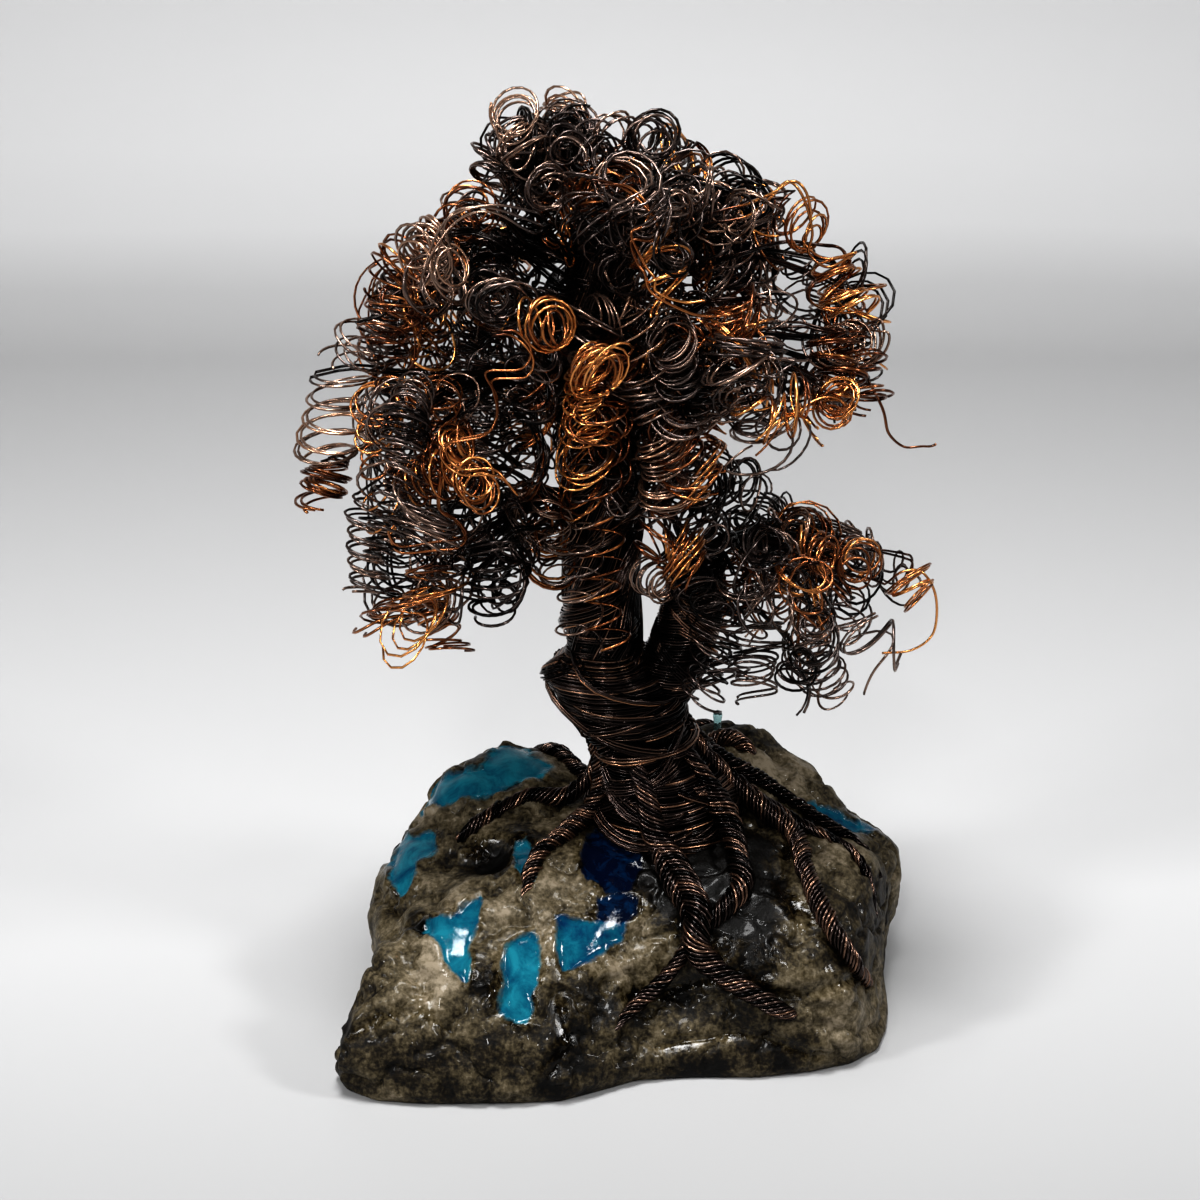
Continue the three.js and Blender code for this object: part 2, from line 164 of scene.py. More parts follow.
def smooth_mesh(name, corners, faces):
    mesh = bpy.data.meshes.new(name)
    mesh.from_pydata(corners, [], faces)
    mesh.polygons.foreach_set("use_smooth", np.ones(len(mesh.polygons), bool))
    mesh.update()
    return mesh


def new_object(name, mesh, materials, slot, *nodes):
    piece = bpy.data.objects.new(name, mesh)
    collection.objects.link(piece)
    for material in materials:
        mesh.materials.append(material)
    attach(piece, "root")
    if nodes:
        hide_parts(*nodes)
    return piece


def add_attribute(mesh, name, values):
    attribute = mesh.attributes.new(name, "FLOAT", "POINT")
    attribute.data.foreach_set("value", np.asarray(values, np.float32))


# Wire meshes

class Wires:
    """Collects wires, each a line of points, and makes one mesh of square-sided round-shaded tubes."""

    SIDES = 4

    def __init__(self):
        self.corners, self.faces, self.skins, self.tints, self.count = [], [], [], [], 0

    def add(self, lines, radius, tint, skin=0):
        """lines is wires by points by 3, in mm; radius and tint are a number, or wires by points. skin
        is which of the mesh's materials they wear."""
        lines = np.asarray(lines, float)
        wires, points, _ = lines.shape
        tangent = unit(np.gradient(lines, axis=1))
        normal = np.empty_like(lines)
        start = np.where(np.abs(tangent[:, 0, 2:3]) < 0.8, [[0.0, 0, 1]], [[1.0, 0, 0]])
        normal[:, 0] = unit(np.cross(tangent[:, 0], start))
        for i in range(1, points):
            last, t = normal[:, i - 1], tangent[:, i]
            normal[:, i] = unit(last - (last * t).sum(1, keepdims=True) * t)
        binormal = np.cross(tangent, normal)
        angle = np.arange(self.SIDES) * 2 * math.pi / self.SIDES
        radius = np.broadcast_to(np.asarray(radius, float), (wires, points))[:, :, None, None]
        ring = np.cos(angle)[:, None] * normal[:, :, None] + np.sin(angle)[:, None] * binormal[:, :, None]
        corners = lines[:, :, None] + radius * ring
        index = self.count + np.arange(wires * points * self.SIDES).reshape(wires, points, self.SIDES)
        ends = np.concatenate([index[:, 0, ::-1], index[:, -1]])
        tint = np.broadcast_to(np.asarray(tint, float), (wires, points))
        self.keep(corners, [ring_faces(index), ends], np.repeat(tint.reshape(-1), self.SIDES), skin)

    def keep(self, corners, faces, tints, skin=0):
        corners = corners.reshape(-1, 3)
        faces = np.concatenate([f.reshape(-1, 4) for f in faces])
        self.corners.append(corners)
        self.faces.append(faces)
        self.skins.append(np.full(len(faces), skin, np.int32))
        self.tints.append(tints)
        self.count += len(corners)

    def mesh(self, name):
        mesh = bpy.data.meshes.new(name)
        corners = np.concatenate(self.corners) * MM
        faces = np.concatenate(self.faces)
        mesh.vertices.add(len(corners))
        mesh.vertices.foreach_set("co", corners.reshape(-1))
        mesh.loops.add(faces.size)
        mesh.loops.foreach_set("vertex_index", faces.reshape(-1).astype(np.int32))
        mesh.polygons.add(len(faces))
        mesh.polygons.foreach_set("loop_start", np.arange(0, faces.size, 4, dtype=np.int32))
        mesh.polygons.foreach_set("use_smooth", np.ones(len(faces), bool))
        mesh.polygons.foreach_set("material_index", np.concatenate(self.skins))
        mesh.update(calc_edges=True)
        add_attribute(mesh, "tint", np.concatenate(self.tints))
        return mesh


# Materials

class Nodes:
    """A material's nodes, added by type, with their sockets set by name."""

    def __init__(self, name):
        self.material = bpy.data.materials.new(name)
        self.material.use_nodes = True
        self.tree = self.material.node_tree
        self.shader = self.tree.nodes["Principled BSDF"]
        self.place = self.add("ShaderNodeTexCoord").outputs["Object"]

    def add(self, kind, settings=(), **sockets):
        node = self.tree.nodes.new(kind)
        for key, value in dict(settings).items():
            setattr(node, key, value)
        for key, value in sockets.items():
            self.set(node, key.replace("_", " "), value)
        return node

    def wear(self, **sockets):
        for key, value in sockets.items():
            self.set(self.shader, key.replace("_", " "), value)

    def set(self, node, socket, value):
        if isinstance(value, bpy.types.NodeSocket):
            self.tree.links.new(value, node.inputs[socket])
        else:
            node.inputs[socket].default_value = value

    def math(self, operation, *values, clamp=False):
        node = self.add("ShaderNodeMath", {"operation": operation, "use_clamp": clamp})
        for i, value in enumerate(values):
            self.set(node, i, value)
        return node.outputs[0]

    def attribute(self, name):
        return self.add("ShaderNodeAttribute", {"attribute_name": name}).outputs["Fac"]

    def vary(self, value, drift, amount):
        """The value, raised and lowered by a noise about its middle."""
        return self.math("ADD", value, self.math("MULTIPLY", self.math("SUBTRACT", drift, 0.5), amount))

    def noise(self, scale, detail, roughness=0.6, distortion=0):
        shape = dict(Scale=scale, Detail=detail, Roughness=roughness, Distortion=distortion)
        return self.add("ShaderNodeTexNoise", Vector=self.place, **shape).outputs["Fac"]

    def ramp(self, factor, stops):
        node = self.add("ShaderNodeValToRGB")
        ramp = node.color_ramp
        while len(ramp.elements) < len(stops):
            ramp.elements.new(0.5)
        for element, (place, colour) in zip(ramp.elements, stops):
            element.position = place
            element.color = (*colour, 1)
        self.set(node, "Fac", factor)
        return node.outputs["Color"]

    def blend(self, factor, a, b):
        """A mix of two colours: the node has a factor, pairs of numbers and vectors, then colours."""
        node = self.add("ShaderNodeMix", {"data_type": "RGBA"})
        for socket, value in ((0, factor), (6, a), (7, b)):
            self.set(node, socket, value)
        return node.outputs[2]

    def bump(self, height, strength, distance):
        node = self.add("ShaderNodeBump", Height=height, Strength=strength, Distance=distance)
        return node.outputs["Normal"]


def wire_material(name, stops, metallic, roughness, coat):
    """Enamelled wire: its tint runs along the stops, and the enamel is a little uneven."""
    n = Nodes(name)
    drift = n.noise(90, 3)
    n.wear(
        Base_Color=n.ramp(n.vary(n.attribute("tint"), drift, 0.3), stops),
        Metallic=metallic,
        Roughness=n.math("MULTIPLY_ADD", drift, 0.14, roughness - 0.07),
        Coat_Weight=coat,
        Coat_Roughness=0.12,
        Specular_IOR_Level=0.4,
        Normal=n.bump(n.noise(500, 2), 0.06, 0.0001),
    )
    return n.material


# Colours of wire along its tint, from black enamel to worn copper
LOOSE = [(0.0, (0.004, 0.003, 0.0025)), (0.22, (0.125, 0.096, 0.086)), (0.6, (0.37, 0.245, 0.18))]
# The wound trunk, stub and roots: the same wire painted darker, as painted shade under the canopy
BOUND_IN_PAINTED_SHADE = [(0.0, (0.003, 0.0022, 0.002)), (0.22, (0.065, 0.046, 0.04)), (0.6, (0.3, 0.18, 0.12))]
WORN = [(1.0, (0.5, 0.24, 0.11))]
COPPER = [(0.0, (0.02, 0.01, 0.007)), (0.55, (0.13, 0.045, 0.018)), (0.78, (0.38, 0.15, 0.055))]
BRIGHT = [(1.0, (0.8, 0.38, 0.13))]

dark_wire = wire_material("dark_wire", LOOSE + WORN, metallic=0.88, roughness=0.25, coat=0.2)
# The same wire as dark_wire, painted darker as painted shade for the wound trunk, stub and roots
bound_wire_in_painted_shade = wire_material("bound_wire_in_painted_shade", BOUND_IN_PAINTED_SHADE + WORN, metallic=0.88, roughness=0.25, coat=0.12)
copper_wire = wire_material("copper_wire", COPPER + BRIGHT, metallic=0.95, roughness=0.26, coat=0.3)


# Rock

# Outlines as they show from the front, mm across and up from the middle of the view at the trunk's
# distance. Blue pools, with how deep each one's blue is
POOLS = [
    (0.0, [(-30.7, -47.4), (-26.6, -47), (-16, -54.7), (-22.4, -58.2), (-34.6, -62.7), (-46.7, -66.2),
        (-57.3, -69.4), (-55.4, -62.7), (-49.9, -60.2), (-37.1, -54.7)]),
    (0.1, [(-62.1, -76.8), (-52.8, -76.2), (-52.8, -80.3), (-56.6, -84.2), (-58.9, -90.9),
        (-62.7, -95.7), (-65.3, -91.8), (-65.6, -85.8)]),
    (0.15, [(-27.2, -79.7), (-23, -78.4), (-19.2, -85.1), (-22.4, -91.8), (-27.2, -88.3)]),
    (0.1, [(-38, -96.5), (-38, -99.8), (-41.6, -109.1), (-42.6, -122.5), (-49.9, -116.8),
        (-51, -111), (-55.5, -106.5), (-54.5, -103.5), (-47.4, -102.5)]),
    (0.1, [(-21, -106.5), (-20.3, -118.1), (-21.6, -130), (-23.4, -135.6), (-31, -135), (-33.6, -131.5),
        (-30.8, -124.8), (-31.4, -118.1), (-30, -111.5), (-26, -108)]),
    (0.3, [(-13.1, -103), (8.3, -102.4), (7, -109.1), (-4.8, -115.5), (-12.5, -119.4), (-14.4, -112.3)]),
    (1.0, [(-4.5, -76), (4, -73), (11, -77), (13, -86), (9, -94), (1, -95), (-5, -88)]),
    (0.95, [(-2, -96), (5, -94.5), (12, -97), (12, -102), (5, -105), (-2, -103)]),
    (0.3, [(64.6, -66.2), (72, -66.6), (85.8, -76.2), (83.8, -77.8), (73.6, -72.3)]),
]

# Lines of relief, seen the same way: their points, half width and height, or depth if negative
RELIEF = [
    (3.0, -2.0, [(-65.6, -97.6), (-62.4, -115.2), (-56, -128)]),  # groove below the left shoulder
    (2.6, -1.6, [(-81, -139), (-70, -133), (-58, -131), (-48, -138)]),  # crease above the toe
    (3.2, 1.5, [(0, -120), (14, -113), (28.8, -102.4)]),  # the ridge below the deep pool
    (3.0, -2.2, [(62, -78), (58, -92), (66, -104)]),  # crease in front of the boulder
    (2.5, -1.6, [(10, -126), (36, -121), (60, -128), (84, -120)]),  # crease below the roots
    (2.2, -1.4, [(20, -143), (44, -139), (70, -146)]),  # crease above the front edge
    (2.4, 1.2, [(-43, -82), (-36, -76), (-26, -78)]),  # the brow over the hollow
    (3.0, -1.3, [(-14, -128), (-10, -140), (-16, -150)]),  # crease at the front corner
]

# Blots of shade, seen the same way: middle, half sizes, and how pale (over 0) or dark (under 0).
# The dark ones under the trunk, by the roots, in the hollows and in the gully are painted shade
BLOTS = [
    ((4, -119), (17, 8), 1.0),  # pale patch below the deep pool
    ((-54, -118), (9, 15), 0.5),  # left edge
    ((74, -135), (12, 7), 0.75),  # right front
    ((-17, -50), (5, 5), 0.9),  # top of the left peak
    ((75, -83), (9, 8), 0.9),  # boulder
    ((-44, -73), (13, 5), 0.8),  # slope under the long pool
    ((-36, -96), (16, 5), 0.55),  # above the lower pools
    ((52, -53), (14, 8), 1.2),  # right-hand peak
    ((-70, -142), (10, 8), 0.35),  # toe
    ((41, -97), (24, 17), -1.5),  # painted shade, black between the roots
    ((24, -83), (30, 11), -1.4),  # painted shade under the trunk
    ((-38, -50), (16, 5), -0.5),  # left peak
    ((4, -86), (8, 6), -0.9),  # round the deep pool
    ((-34, -85), (8, 5), -1.3),  # painted shade in the hollow
    ((-56.5, -105.5), (3.5, 3), -2.0),  # painted shade in the small hollow
    ((-37, -121), (5.5, 9), -1.9),  # the glossy bump
    ((26, -124), (20, 8), -0.6),  # painted shade in the gully
    ((76, -108), (9, 14), -0.6),  # painted shade right of the longest root
    ((-12, -132), (13, 10), -0.2),  # below the pools
    ((62, -112), (14, 7), -0.3),  # painted shade between the long roots
    ((30, -150), (40, 3), -0.5),  # front edge
]

# Swells, seen the same way, that the stone has on its outline: middle, half sizes and height
SWELLS = [
    ((-51, -61), (13, 10), 2.6),
    ((-60, -80), (6, 9), 1.6),
    ((61, -45), (13, 9), -3.6),
    ((89, -80), (10, 12), 4.6),
    ((91, -128), (7, 22), -5.6),
    ((-81, -126), (8, 12), -3.6),
]

# Hollows and a bump, seen the same way: middle, half sizes and depth or height
HOLLOW = ((-34.4, -85), (6.5, 4.5), -3.2)
SMALL_HOLLOW = ((-56, -105.5), (3.2, 2.4), -1.6)
GLOSSY_BUMP = ((-37.4, -121.3), (5, 9), 1.8)
PEG_HOLE = ((47.4, -46.4), (1.7, 1.5), -3)

# Relief of the bare stone in mm: wide lumps, knobs, how deep and wide its cracks are, and grit
LUMPS, KNOBS, CRACKS, CRACK_WIDTH, GRIT = 2.4, 1.2, 1.8, 0.11, 0.12


def from_segment(points, a, b):
    """Distance in mm of seen points from the line between two ends."""
    along = np.clip(((points - a) @ (b - a)) / ((b - a) @ (b - a)), 0, 1)
    return np.linalg.norm(points - a - along[:, None] * (b - a), axis=1)


def inside(points, outline):
    """Signed distance in mm of seen points from an outline, positive inside it."""
    corners = np.asarray(outline, float)
    nearest = np.full(len(points), 1e9)
    crossings = np.zeros(len(points), int)
    for a, b in zip(corners, np.roll(corners, -1, axis=0)):
        nearest = np.minimum(nearest, from_segment(points, a, b))
        spans = (a[1] > points[:, 1]) != (b[1] > points[:, 1])
        at = a[0] + (points[:, 1] - a[1]) * (b[0] - a[0]) / (b[1] - a[1] if b[1] != a[1] else 1e-9)
        crossings += spans & (points[:, 0] < at)
    return np.where(crossings % 2 == 1, nearest, -nearest)


def from_line(points, line):
    """Distance in mm of seen points from a line of points."""
    line = np.asarray(line, float)
    return np.min([from_segment(points, a, b) for a, b in zip(line, line[1:])], axis=0)


def blot(points, middle, half):
    """A soft oval spot, 1 in its middle."""
    return np.exp(-(((points - middle) / half) ** 2).sum(1))


def fractal(points, size, octaves=4):
    """Noise of about -1 to 1 at each point, whose largest waves are size mm."""
    return np.array([noise.fractal(Vector(p / size), 0.9, 2.1, octaves) for p in points])


def sculpted_rock():
    """The stone: the part's own solid, remeshed finely, with its relief pushed along its normals."""
    rough = bpy.data.objects.new("rough_rock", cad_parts["rock_base"].data.copy())
    collection.objects.link(rough)
    remesh = rough.modifiers.new("even", "REMESH")
    remesh.mode = "VOXEL"
    remesh.voxel_size = ROCK_VOXEL * MM
    soften = rough.modifiers.new("soften", "SMOOTH")
    soften.iterations = 7
    mesh = bpy.data.meshes.new_from_object(rough.evaluated_get(bpy.context.evaluated_depsgraph_get()))
    mesh.name = "sculpted_rock"
    mesh.materials.clear()
    bpy.data.objects.remove(rough)

    count = len(mesh.vertices)
    at = np.empty(count * 3)
    mesh.vertices.foreach_get("co", at)
    at = at.reshape(-1, 3) / MM
    normal = np.empty(count * 3, np.float32)
    mesh.vertices.foreach_get("normal", normal)
    normal = normal.reshape(-1, 3).astype(float)
    view = seen(at)
    facing = smooth((normal * unit(CAMERA_AT - at)).sum(1), -0.05, 0.2)

    pool = np.full(count, -9.0)
    deep = np.zeros(count)
    edge_wander = fractal(at, 11, 3) * 1.6
    for depth, outline in POOLS:
        distance = np.where(facing > 0.3, inside(view, outline) + edge_wander, -9.0)
        deep = np.where(distance > pool, depth, deep)
        pool = np.maximum(pool, distance)

    lumps = fractal(at + 40, 32, 3)
    knobs = fractal(at + 90, 12, 3)
    pits = np.abs(fractal(at + 60, 17, 3))
    grit = fractal(at + 150, 3.2, 3)
    push = LUMPS * lumps + KNOBS * knobs - CRACKS * np.exp(-((pits / CRACK_WIDTH) ** 2)) + GRIT * grit
    in_pool = smooth(pool, -0.6, 0.9)
    push = mix(push, 2.0 * lumps - 1.2, in_pool)
    push += 0.35 * np.exp(-(((pool + 0.9) / 0.8) ** 2)) * facing
    for half, height, line in RELIEF:
        push += facing * height * np.exp(-((from_line(view, line) / half) ** 2))
    for middle, half, height in (HOLLOW, SMALL_HOLLOW, GLOSSY_BUMP, PEG_HOLE):
        push += facing * height * np.exp(-((((view - middle) / half) ** 2).sum(1) ** 2))
    push += mix(-0.4, 1.9, smooth(at[:, 2], 14, 42))
    for middle, half, height in SWELLS:
        push += height * blot(view, middle, half)
    above = smooth(at[:, 2], 0.8, 5)
    at += normal * (push * above)[:, None]
    at[:, 2] = np.where(at[:, 2] < 0.7, np.maximum(at[:, 2], 0), at[:, 2])
    mesh.vertices.foreach_set("co", (at * MM).reshape(-1))
    mesh.polygons.foreach_set("use_smooth", np.ones(len(mesh.polygons), bool))
    mesh.update()

    shade = np.zeros(count)
    # The dark blots under the trunk, by the roots and in the hollows paint shade onto the stone
    for middle, half, amount in BLOTS:
        shade += facing * amount * blot(view, middle, half)
    # Painted light and shade: the stone is paler where its relief rises and darker in its creases, cracks
    # and hollows
    shade += 0.35 * lumps + 0.3 * smooth(push, -2, 2) - 0.15
    gloss = 0.12 + 0.45 * blot(view, (30, -112), (60, 34)) + 0.9 * np.exp(-(((pool + 0.6) / 1.6) ** 2))
    for half, _, line in RELIEF:
        gloss += 0.75 * np.exp(-((from_line(view, line) / half) ** 2))
    for middle, half, _ in (HOLLOW, SMALL_HOLLOW, GLOSSY_BUMP):
        gloss += 0.9 * blot(view, middle, half)
    gloss *= facing * mix(0.6, 1.3, smooth(knobs, -0.3, 0.4))
    values = dict(pool=pool, deep=deep, shade=shade, gloss=np.clip(gloss, 0, 1))
    for name, value in values.items():
        add_attribute(mesh, name, value)
    return mesh


def stone_material():
    """Mottled grey-brown stone, glossy wet patches, dark patches that are partly painted shade, blue pools,
    and clear resin over most of it.
    """
    n = Nodes("stone")
    cloud = n.noise(34, 6)
    patch = n.noise(140, 6, 0.65)
    speck = n.noise(700, 4)
    # Its tone, with the painted shade and light of the blots and of the relief
    level = n.math("ADD", n.math("MULTIPLY", n.attribute("shade"), 0.24), cloud)
    level = n.vary(n.vary(level, patch, 0.6), speck, 0.65)
    browns = [
        (0.30, (0.0015, 0.001, 0.0005)),
        (0.41, (0.013, 0.009, 0.004)),
        (0.51, (0.046, 0.036, 0.019)),
        (0.63, (0.1, 0.081, 0.05)),
        (0.80, (0.215, 0.18, 0.13)),
    ]
    streak = n.noise(110, 5, 0.7, distortion=0.5)
    swirl = n.math("MULTIPLY", n.math("SUBTRACT", 0.6, streak), 1.7)
    depth = n.math("ADD", n.math("MULTIPLY", n.attribute("deep"), 0.7), swirl)
    blues = [
        (0.0, (0.013, 0.155, 0.205)),
        (0.3, (0.005, 0.085, 0.13)),
        (0.62, (0.002, 0.026, 0.07)),
        (0.9, (0.001, 0.004, 0.015)),
    ]
    ragged = n.vary(n.attribute("pool"), patch, 4.5)
    painted = n.math("MULTIPLY_ADD", ragged, 0.9, 0.65, clamp=True)
    wet = n.math("MAXIMUM", n.attribute("gloss"), painted)
    dry = n.math("SUBTRACT", 1.0, wet)
    relief = n.math("ADD", n.math("MULTIPLY", patch, 0.6), n.math("MULTIPLY", speck, 0.4))
    height = n.math("MULTIPLY", relief, n.math("SUBTRACT", 1.0, n.math("MULTIPLY", wet, 0.85)))
    n.wear(
        Base_Color=n.blend(painted, n.ramp(level, browns), n.ramp(depth, blues)),
        Roughness=n.math("MULTIPLY_ADD", dry, 0.6, 0.08),
        Specular_IOR_Level=0.2,
        Coat_Weight=0.1,
        Coat_Roughness=0.05,
        Coat_IOR=1.5,
        Normal=n.bump(height, 0.7, 0.0015),
    )
    return n.material


rock_mesh = sculpted_rock()
rock = new_object("sculpted_rock", rock_mesh, [stone_material()], "stone", "rock_base")
rock_tree = BVHTree.FromPolygons(
    [v.co.copy() for v in rock_mesh.vertices], [tuple(p.vertices) for p in rock_mesh.polygons]
)


def rock_height(x, y):
    """How high the stone stands at a place, or 0 past its edge."""
    hit = rock_tree.ray_cast(Vector((x, y, 2 * ROCK_HEIGHT)) * MM, Vector((0, 0, -1)))[0]
    return hit.z / MM if hit else 0.0


def rock_place(across, along):
    sideways = ROCK_RIGHT if across > 0 else ROCK_LEFT
    inwards = ROCK_BACK if along > 0 else ROCK_FRONT
    return np.array([across * sideways, along * inwards, 0.0])


# Trunk

# Knuckles on the wrapped trunk: height, angle, half height, half angle and how far each stands out
KNUCKLES = [
    (118, 215, 8, 34, 1.4),
    (133, 222, 7, 34, 1.8),
    (110, 180, 34, 50, -3.2),
    (126, 300, 7, 50, 2.0),
    (108, 330, 9, 50, 1.6),
    (82, 250, 9, 60, 1.8),
    (70, 20, 8, 50, 2.2),
    (196, 120, 12, 60, 1.0),
]

# Wraps: the length of their steps, the lowest one, and the share that is worn, with what that adds
BAND_STEP, LOWEST_WRAP, BARE_SHARE, BARE_TINT = 3.2, 46, 0.14, 0.45


def trunk_centre(h):
    h = np.asarray(h, float)
    lean = TRUNK_LEAN * smooth(h, ROCK_HEIGHT + FOOT_DEPTH, BURR_TOP)
    return np.stack([FOOT_X - lean, np.full_like(h, FOOT_Y), h], -1)


def trunk_radius(h, angle):
    waist = (BURR_TOP + ROCK_HEIGHT) / 2
    base = mix(FOOT_RADIUS, WAIST_RADIUS, smooth(h, ROCK_HEIGHT, waist))
    burr = mix(base, BURR_RADIUS, smooth(h, waist, BURR_TOP - STEM_RADIUS))
    stem = mix(burr, STEM_RADIUS, smooth(h, BURR_TOP - BURR_SHOULDER, BURR_TOP + BURR_SHOULDER))
    radius = mix(stem, TOP_RADIUS, smooth(h, mix(BURR_TOP, TRUNK_TOP, TAPER_FROM), TRUNK_TOP))
    for height, turn, half_height, half_turn, out in KNUCKLES:
        off = (np.degrees(angle) - turn + 180) % 360 - 180
        radius = radius + out * np.exp(-(((h - height) / half_height) ** 2) - (off / half_turn) ** 2)
    return radius - 1.2 + 0.5 * np.sin(3 * angle + h / 11) + 0.35 * np.sin(5 * angle - h / 7)


def on_trunk(h, angle, lift):
    out = trunk_radius(h, angle) + lift
    return trunk_centre(h) + np.stack([np.cos(angle) * out, np.sin(angle) * out, np.zeros_like(out)], -1)


def trunk_band(wires, rng, low, high, start, turns, count, lift, sag=0.0, tint=0.15, crown=0.0):
    """count wires side by side, wound over the trunk from one height to another."""
    radius = float(trunk_radius(np.array((low + high) / 2), np.array(start)))
    length = math.hypot(high - low, radius * turns * 2 * math.pi)
    middle = (count - 1) / 2
    steps = max(6, int(length / BAND_STEP))
    t = np.linspace(0, 1, steps + 1)
    across = np.array([-(high - low), radius * turns * 2 * math.pi]) / length
    lines, tints = [], []
    for k in range(count):
        off = (k - middle) * WIRE_SPACING
        wander = 0.5 * wave(rng, t, 2, 7) * rng.uniform(0, 1)
        h = mix(low, high, t) + sag * np.sin(math.pi * t) + (off + wander) * across[1]
        angle = start + 2 * math.pi * turns * t + off * across[0] / radius
        bulge = lift + crown * (1 - ((k - middle) / (count / 2)) ** 2) + rng.normal(0, 0.12)
        dive = 1.2 * (1 - smooth(np.minimum(t, 1 - t) * length, 0, 5))
        lines.append(on_trunk(np.clip(h, LOWEST_WRAP, TRUNK_TOP + 3), angle, bulge - dive))
        bare = BARE_TINT if rng.uniform() < BARE_SHARE else 0.0
        tints.append(np.clip(tint + bare + rng.normal(0, 0.10) + 0 * t, 0, 1))
    wires.add(lines, WIRE_RADIUS, tints)


def trunk_core(wires):
    """The bundle's dark inside: one thick tube just under the wound wires."""
    h = np.linspace(ROCK_HEIGHT - FOOT_DEPTH + 2, TRUNK_TOP - 1, 70)
    angle = np.linspace(0, 2 * math.pi, 28, endpoint=False)
    grid = np.stack([on_trunk(h, np.full_like(h, a), -1.6) for a in angle], 1)
    rows, around = grid.shape[:2]
    index = wires.count + np.arange(rows * around).reshape(rows, around)
    faces = [ring_faces(index)]
    for ring, way in ((index[0], -1), (index[-1], 1)):
        faces.append(np.array([[ring[0], *ring[i : i + 3]][::way] for i in range(1, around - 2, 2)]))
    wires.keep(grid, faces, np.zeros(rows * around))


def wind_trunk(wires):
    rng = np.random.default_rng(11)
    trunk_core(wires)
    # the base layer: near-level wraps from the foot to the burr, then a steep lay up the stem
    for low in np.arange(50, BURR_TOP + 14, WIRE_SPACING * 7):
        trunk_band(wires, rng, low, low + WIRE_SPACING * 7, any_turn(rng), 1.04, 7, 0.1,
                   tint=rng.uniform(0.0, 0.1), crown=0.8)
    for low in np.arange(BURR_TOP - 8, BURR_TOP + 7, 3):
        trunk_band(wires, rng, low, low + 3, any_turn(rng), 1.04, 6, 0.3, tint=0.05, crown=0.3)
    for i in range(10):
        trunk_band(wires, rng, BURR_TOP + 2, TRUNK_TOP, i * 2 * math.pi / 10, 0.8, 7, 0.0,
                   tint=rng.uniform(0.0, 0.12), crown=0.9)
    # bands laid over it at all slants
    for _ in range(36):
        low = rng.uniform(54, BURR_TOP + 6)
        trunk_band(wires, rng, low, low + rng.choice([-1, 1]) * rng.uniform(6, 30), any_turn(rng),
                   rng.uniform(0.3, 0.62), int(rng.integers(3, 8)), rng.uniform(0.8, 1.9),
                   sag=rng.uniform(-12, 4), tint=rng.uniform(0.0, 0.25), crown=1.5)
    for _ in range(26):
        low = rng.uniform(BURR_TOP, TRUNK_TOP - 60)
        trunk_band(wires, rng, low, low + rng.uniform(10, 60), any_turn(rng), rng.uniform(0.2, 0.8),
                   int(rng.integers(2, 6)), rng.uniform(0.6, 1.1), sag=rng.uniform(-3, 3),
                   tint=rng.uniform(0.0, 0.35), crown=0.7)
    for _ in range(22):
        low = rng.uniform(TRUNK_TOP - 70, TRUNK_TOP - 10)
        trunk_band(wires, rng, low, low + rng.uniform(-12, 12), any_turn(rng), rng.uniform(0.3, 0.8),
                   int(rng.integers(3, 6)), 0.9, tint=rng.uniform(0, 0.06), crown=0.5)


# Cables and bundles that follow a line

def frames_along(line):
    """Tangents and two crosswise directions along a line of points, without twist."""
    tangent = unit(np.gradient(line, axis=0))
    side = np.empty_like(line)
    side[0] = unit(np.cross(tangent[0], [0.3, 0.9, 0.3]))
    for i in range(1, len(line)):
        side[i] = unit(side[i - 1] - (side[i - 1] @ tangent[i]) * tangent[i])
    return tangent, side, np.cross(tangent, side)


def resample(line, step):
    """The same line with points step mm apart."""
    gaps = np.linalg.norm(np.diff(line, axis=0), axis=1)
    along = np.concatenate([[0], np.cumsum(gaps)])
    at = np.linspace(0, along[-1], max(4, int(along[-1] / step) + 1))
    return np.stack([np.interp(at, along, line[:, i]) for i in range(3)], 1), at


def cable(wires, rng, line, radius, lay, tint, way=1, spread=0.1, thick=WIRE_RADIUS):
    """Wires laid round a core along a line, as in a rope: radius is a number or runs along it."""
    line, at = resample(line, 1.3)
    radius = np.interp(at / at[-1], np.linspace(0, 1, np.size(radius)), np.atleast_1d(radius))
    tangent, side, other = frames_along(line)
    slant = math.atan2(2 * math.pi * radius.mean(), lay)
    count = max(4, int(2 * math.pi * radius.mean() * math.cos(slant) / (2.35 * thick)))
    lines, tints = [], []
    for k in range(count):
        angle = way * 2 * math.pi * at / lay + 2 * math.pi * k / count
        uneven = 0.25 * np.sin(at / rng.uniform(3, 6) + rng.uniform(0, 6))
        out = radius - thick + uneven + rng.normal(0, 0.12)
        lines.append(line + circling(angle, out, side, other))
        tints.append(np.clip(tint + rng.normal(0, spread) + 0 * at, 0, 1))
    wires.add(lines, thick, tints)
    wires.add([line], np.maximum(radius - 1.9 * thick, 0.3)[None], 0.0)


# How far a winding root's end stands out of the stone, as a share of its radius: it lies inside
ROOT_TIP_OUT = -0.45

# Roots that wind over the stone where they show, by number: mm across and up the view
ROOT_WAYS = {
    2: [(13, -76), (24, -86), (30, -100), (31, -112), (44, -124), (54, -130), (63, -134)],
    3: [(14, -82), (26, -96), (29, -108), (20, -121), (9, -130), (4, -140)],
    4: [(38, -72), (45, -82), (43, -96), (34, -107)],
    5: [(50, -66), (61, -76), (66, -90), (71, -105), (80, -116), (88, -122)],
}

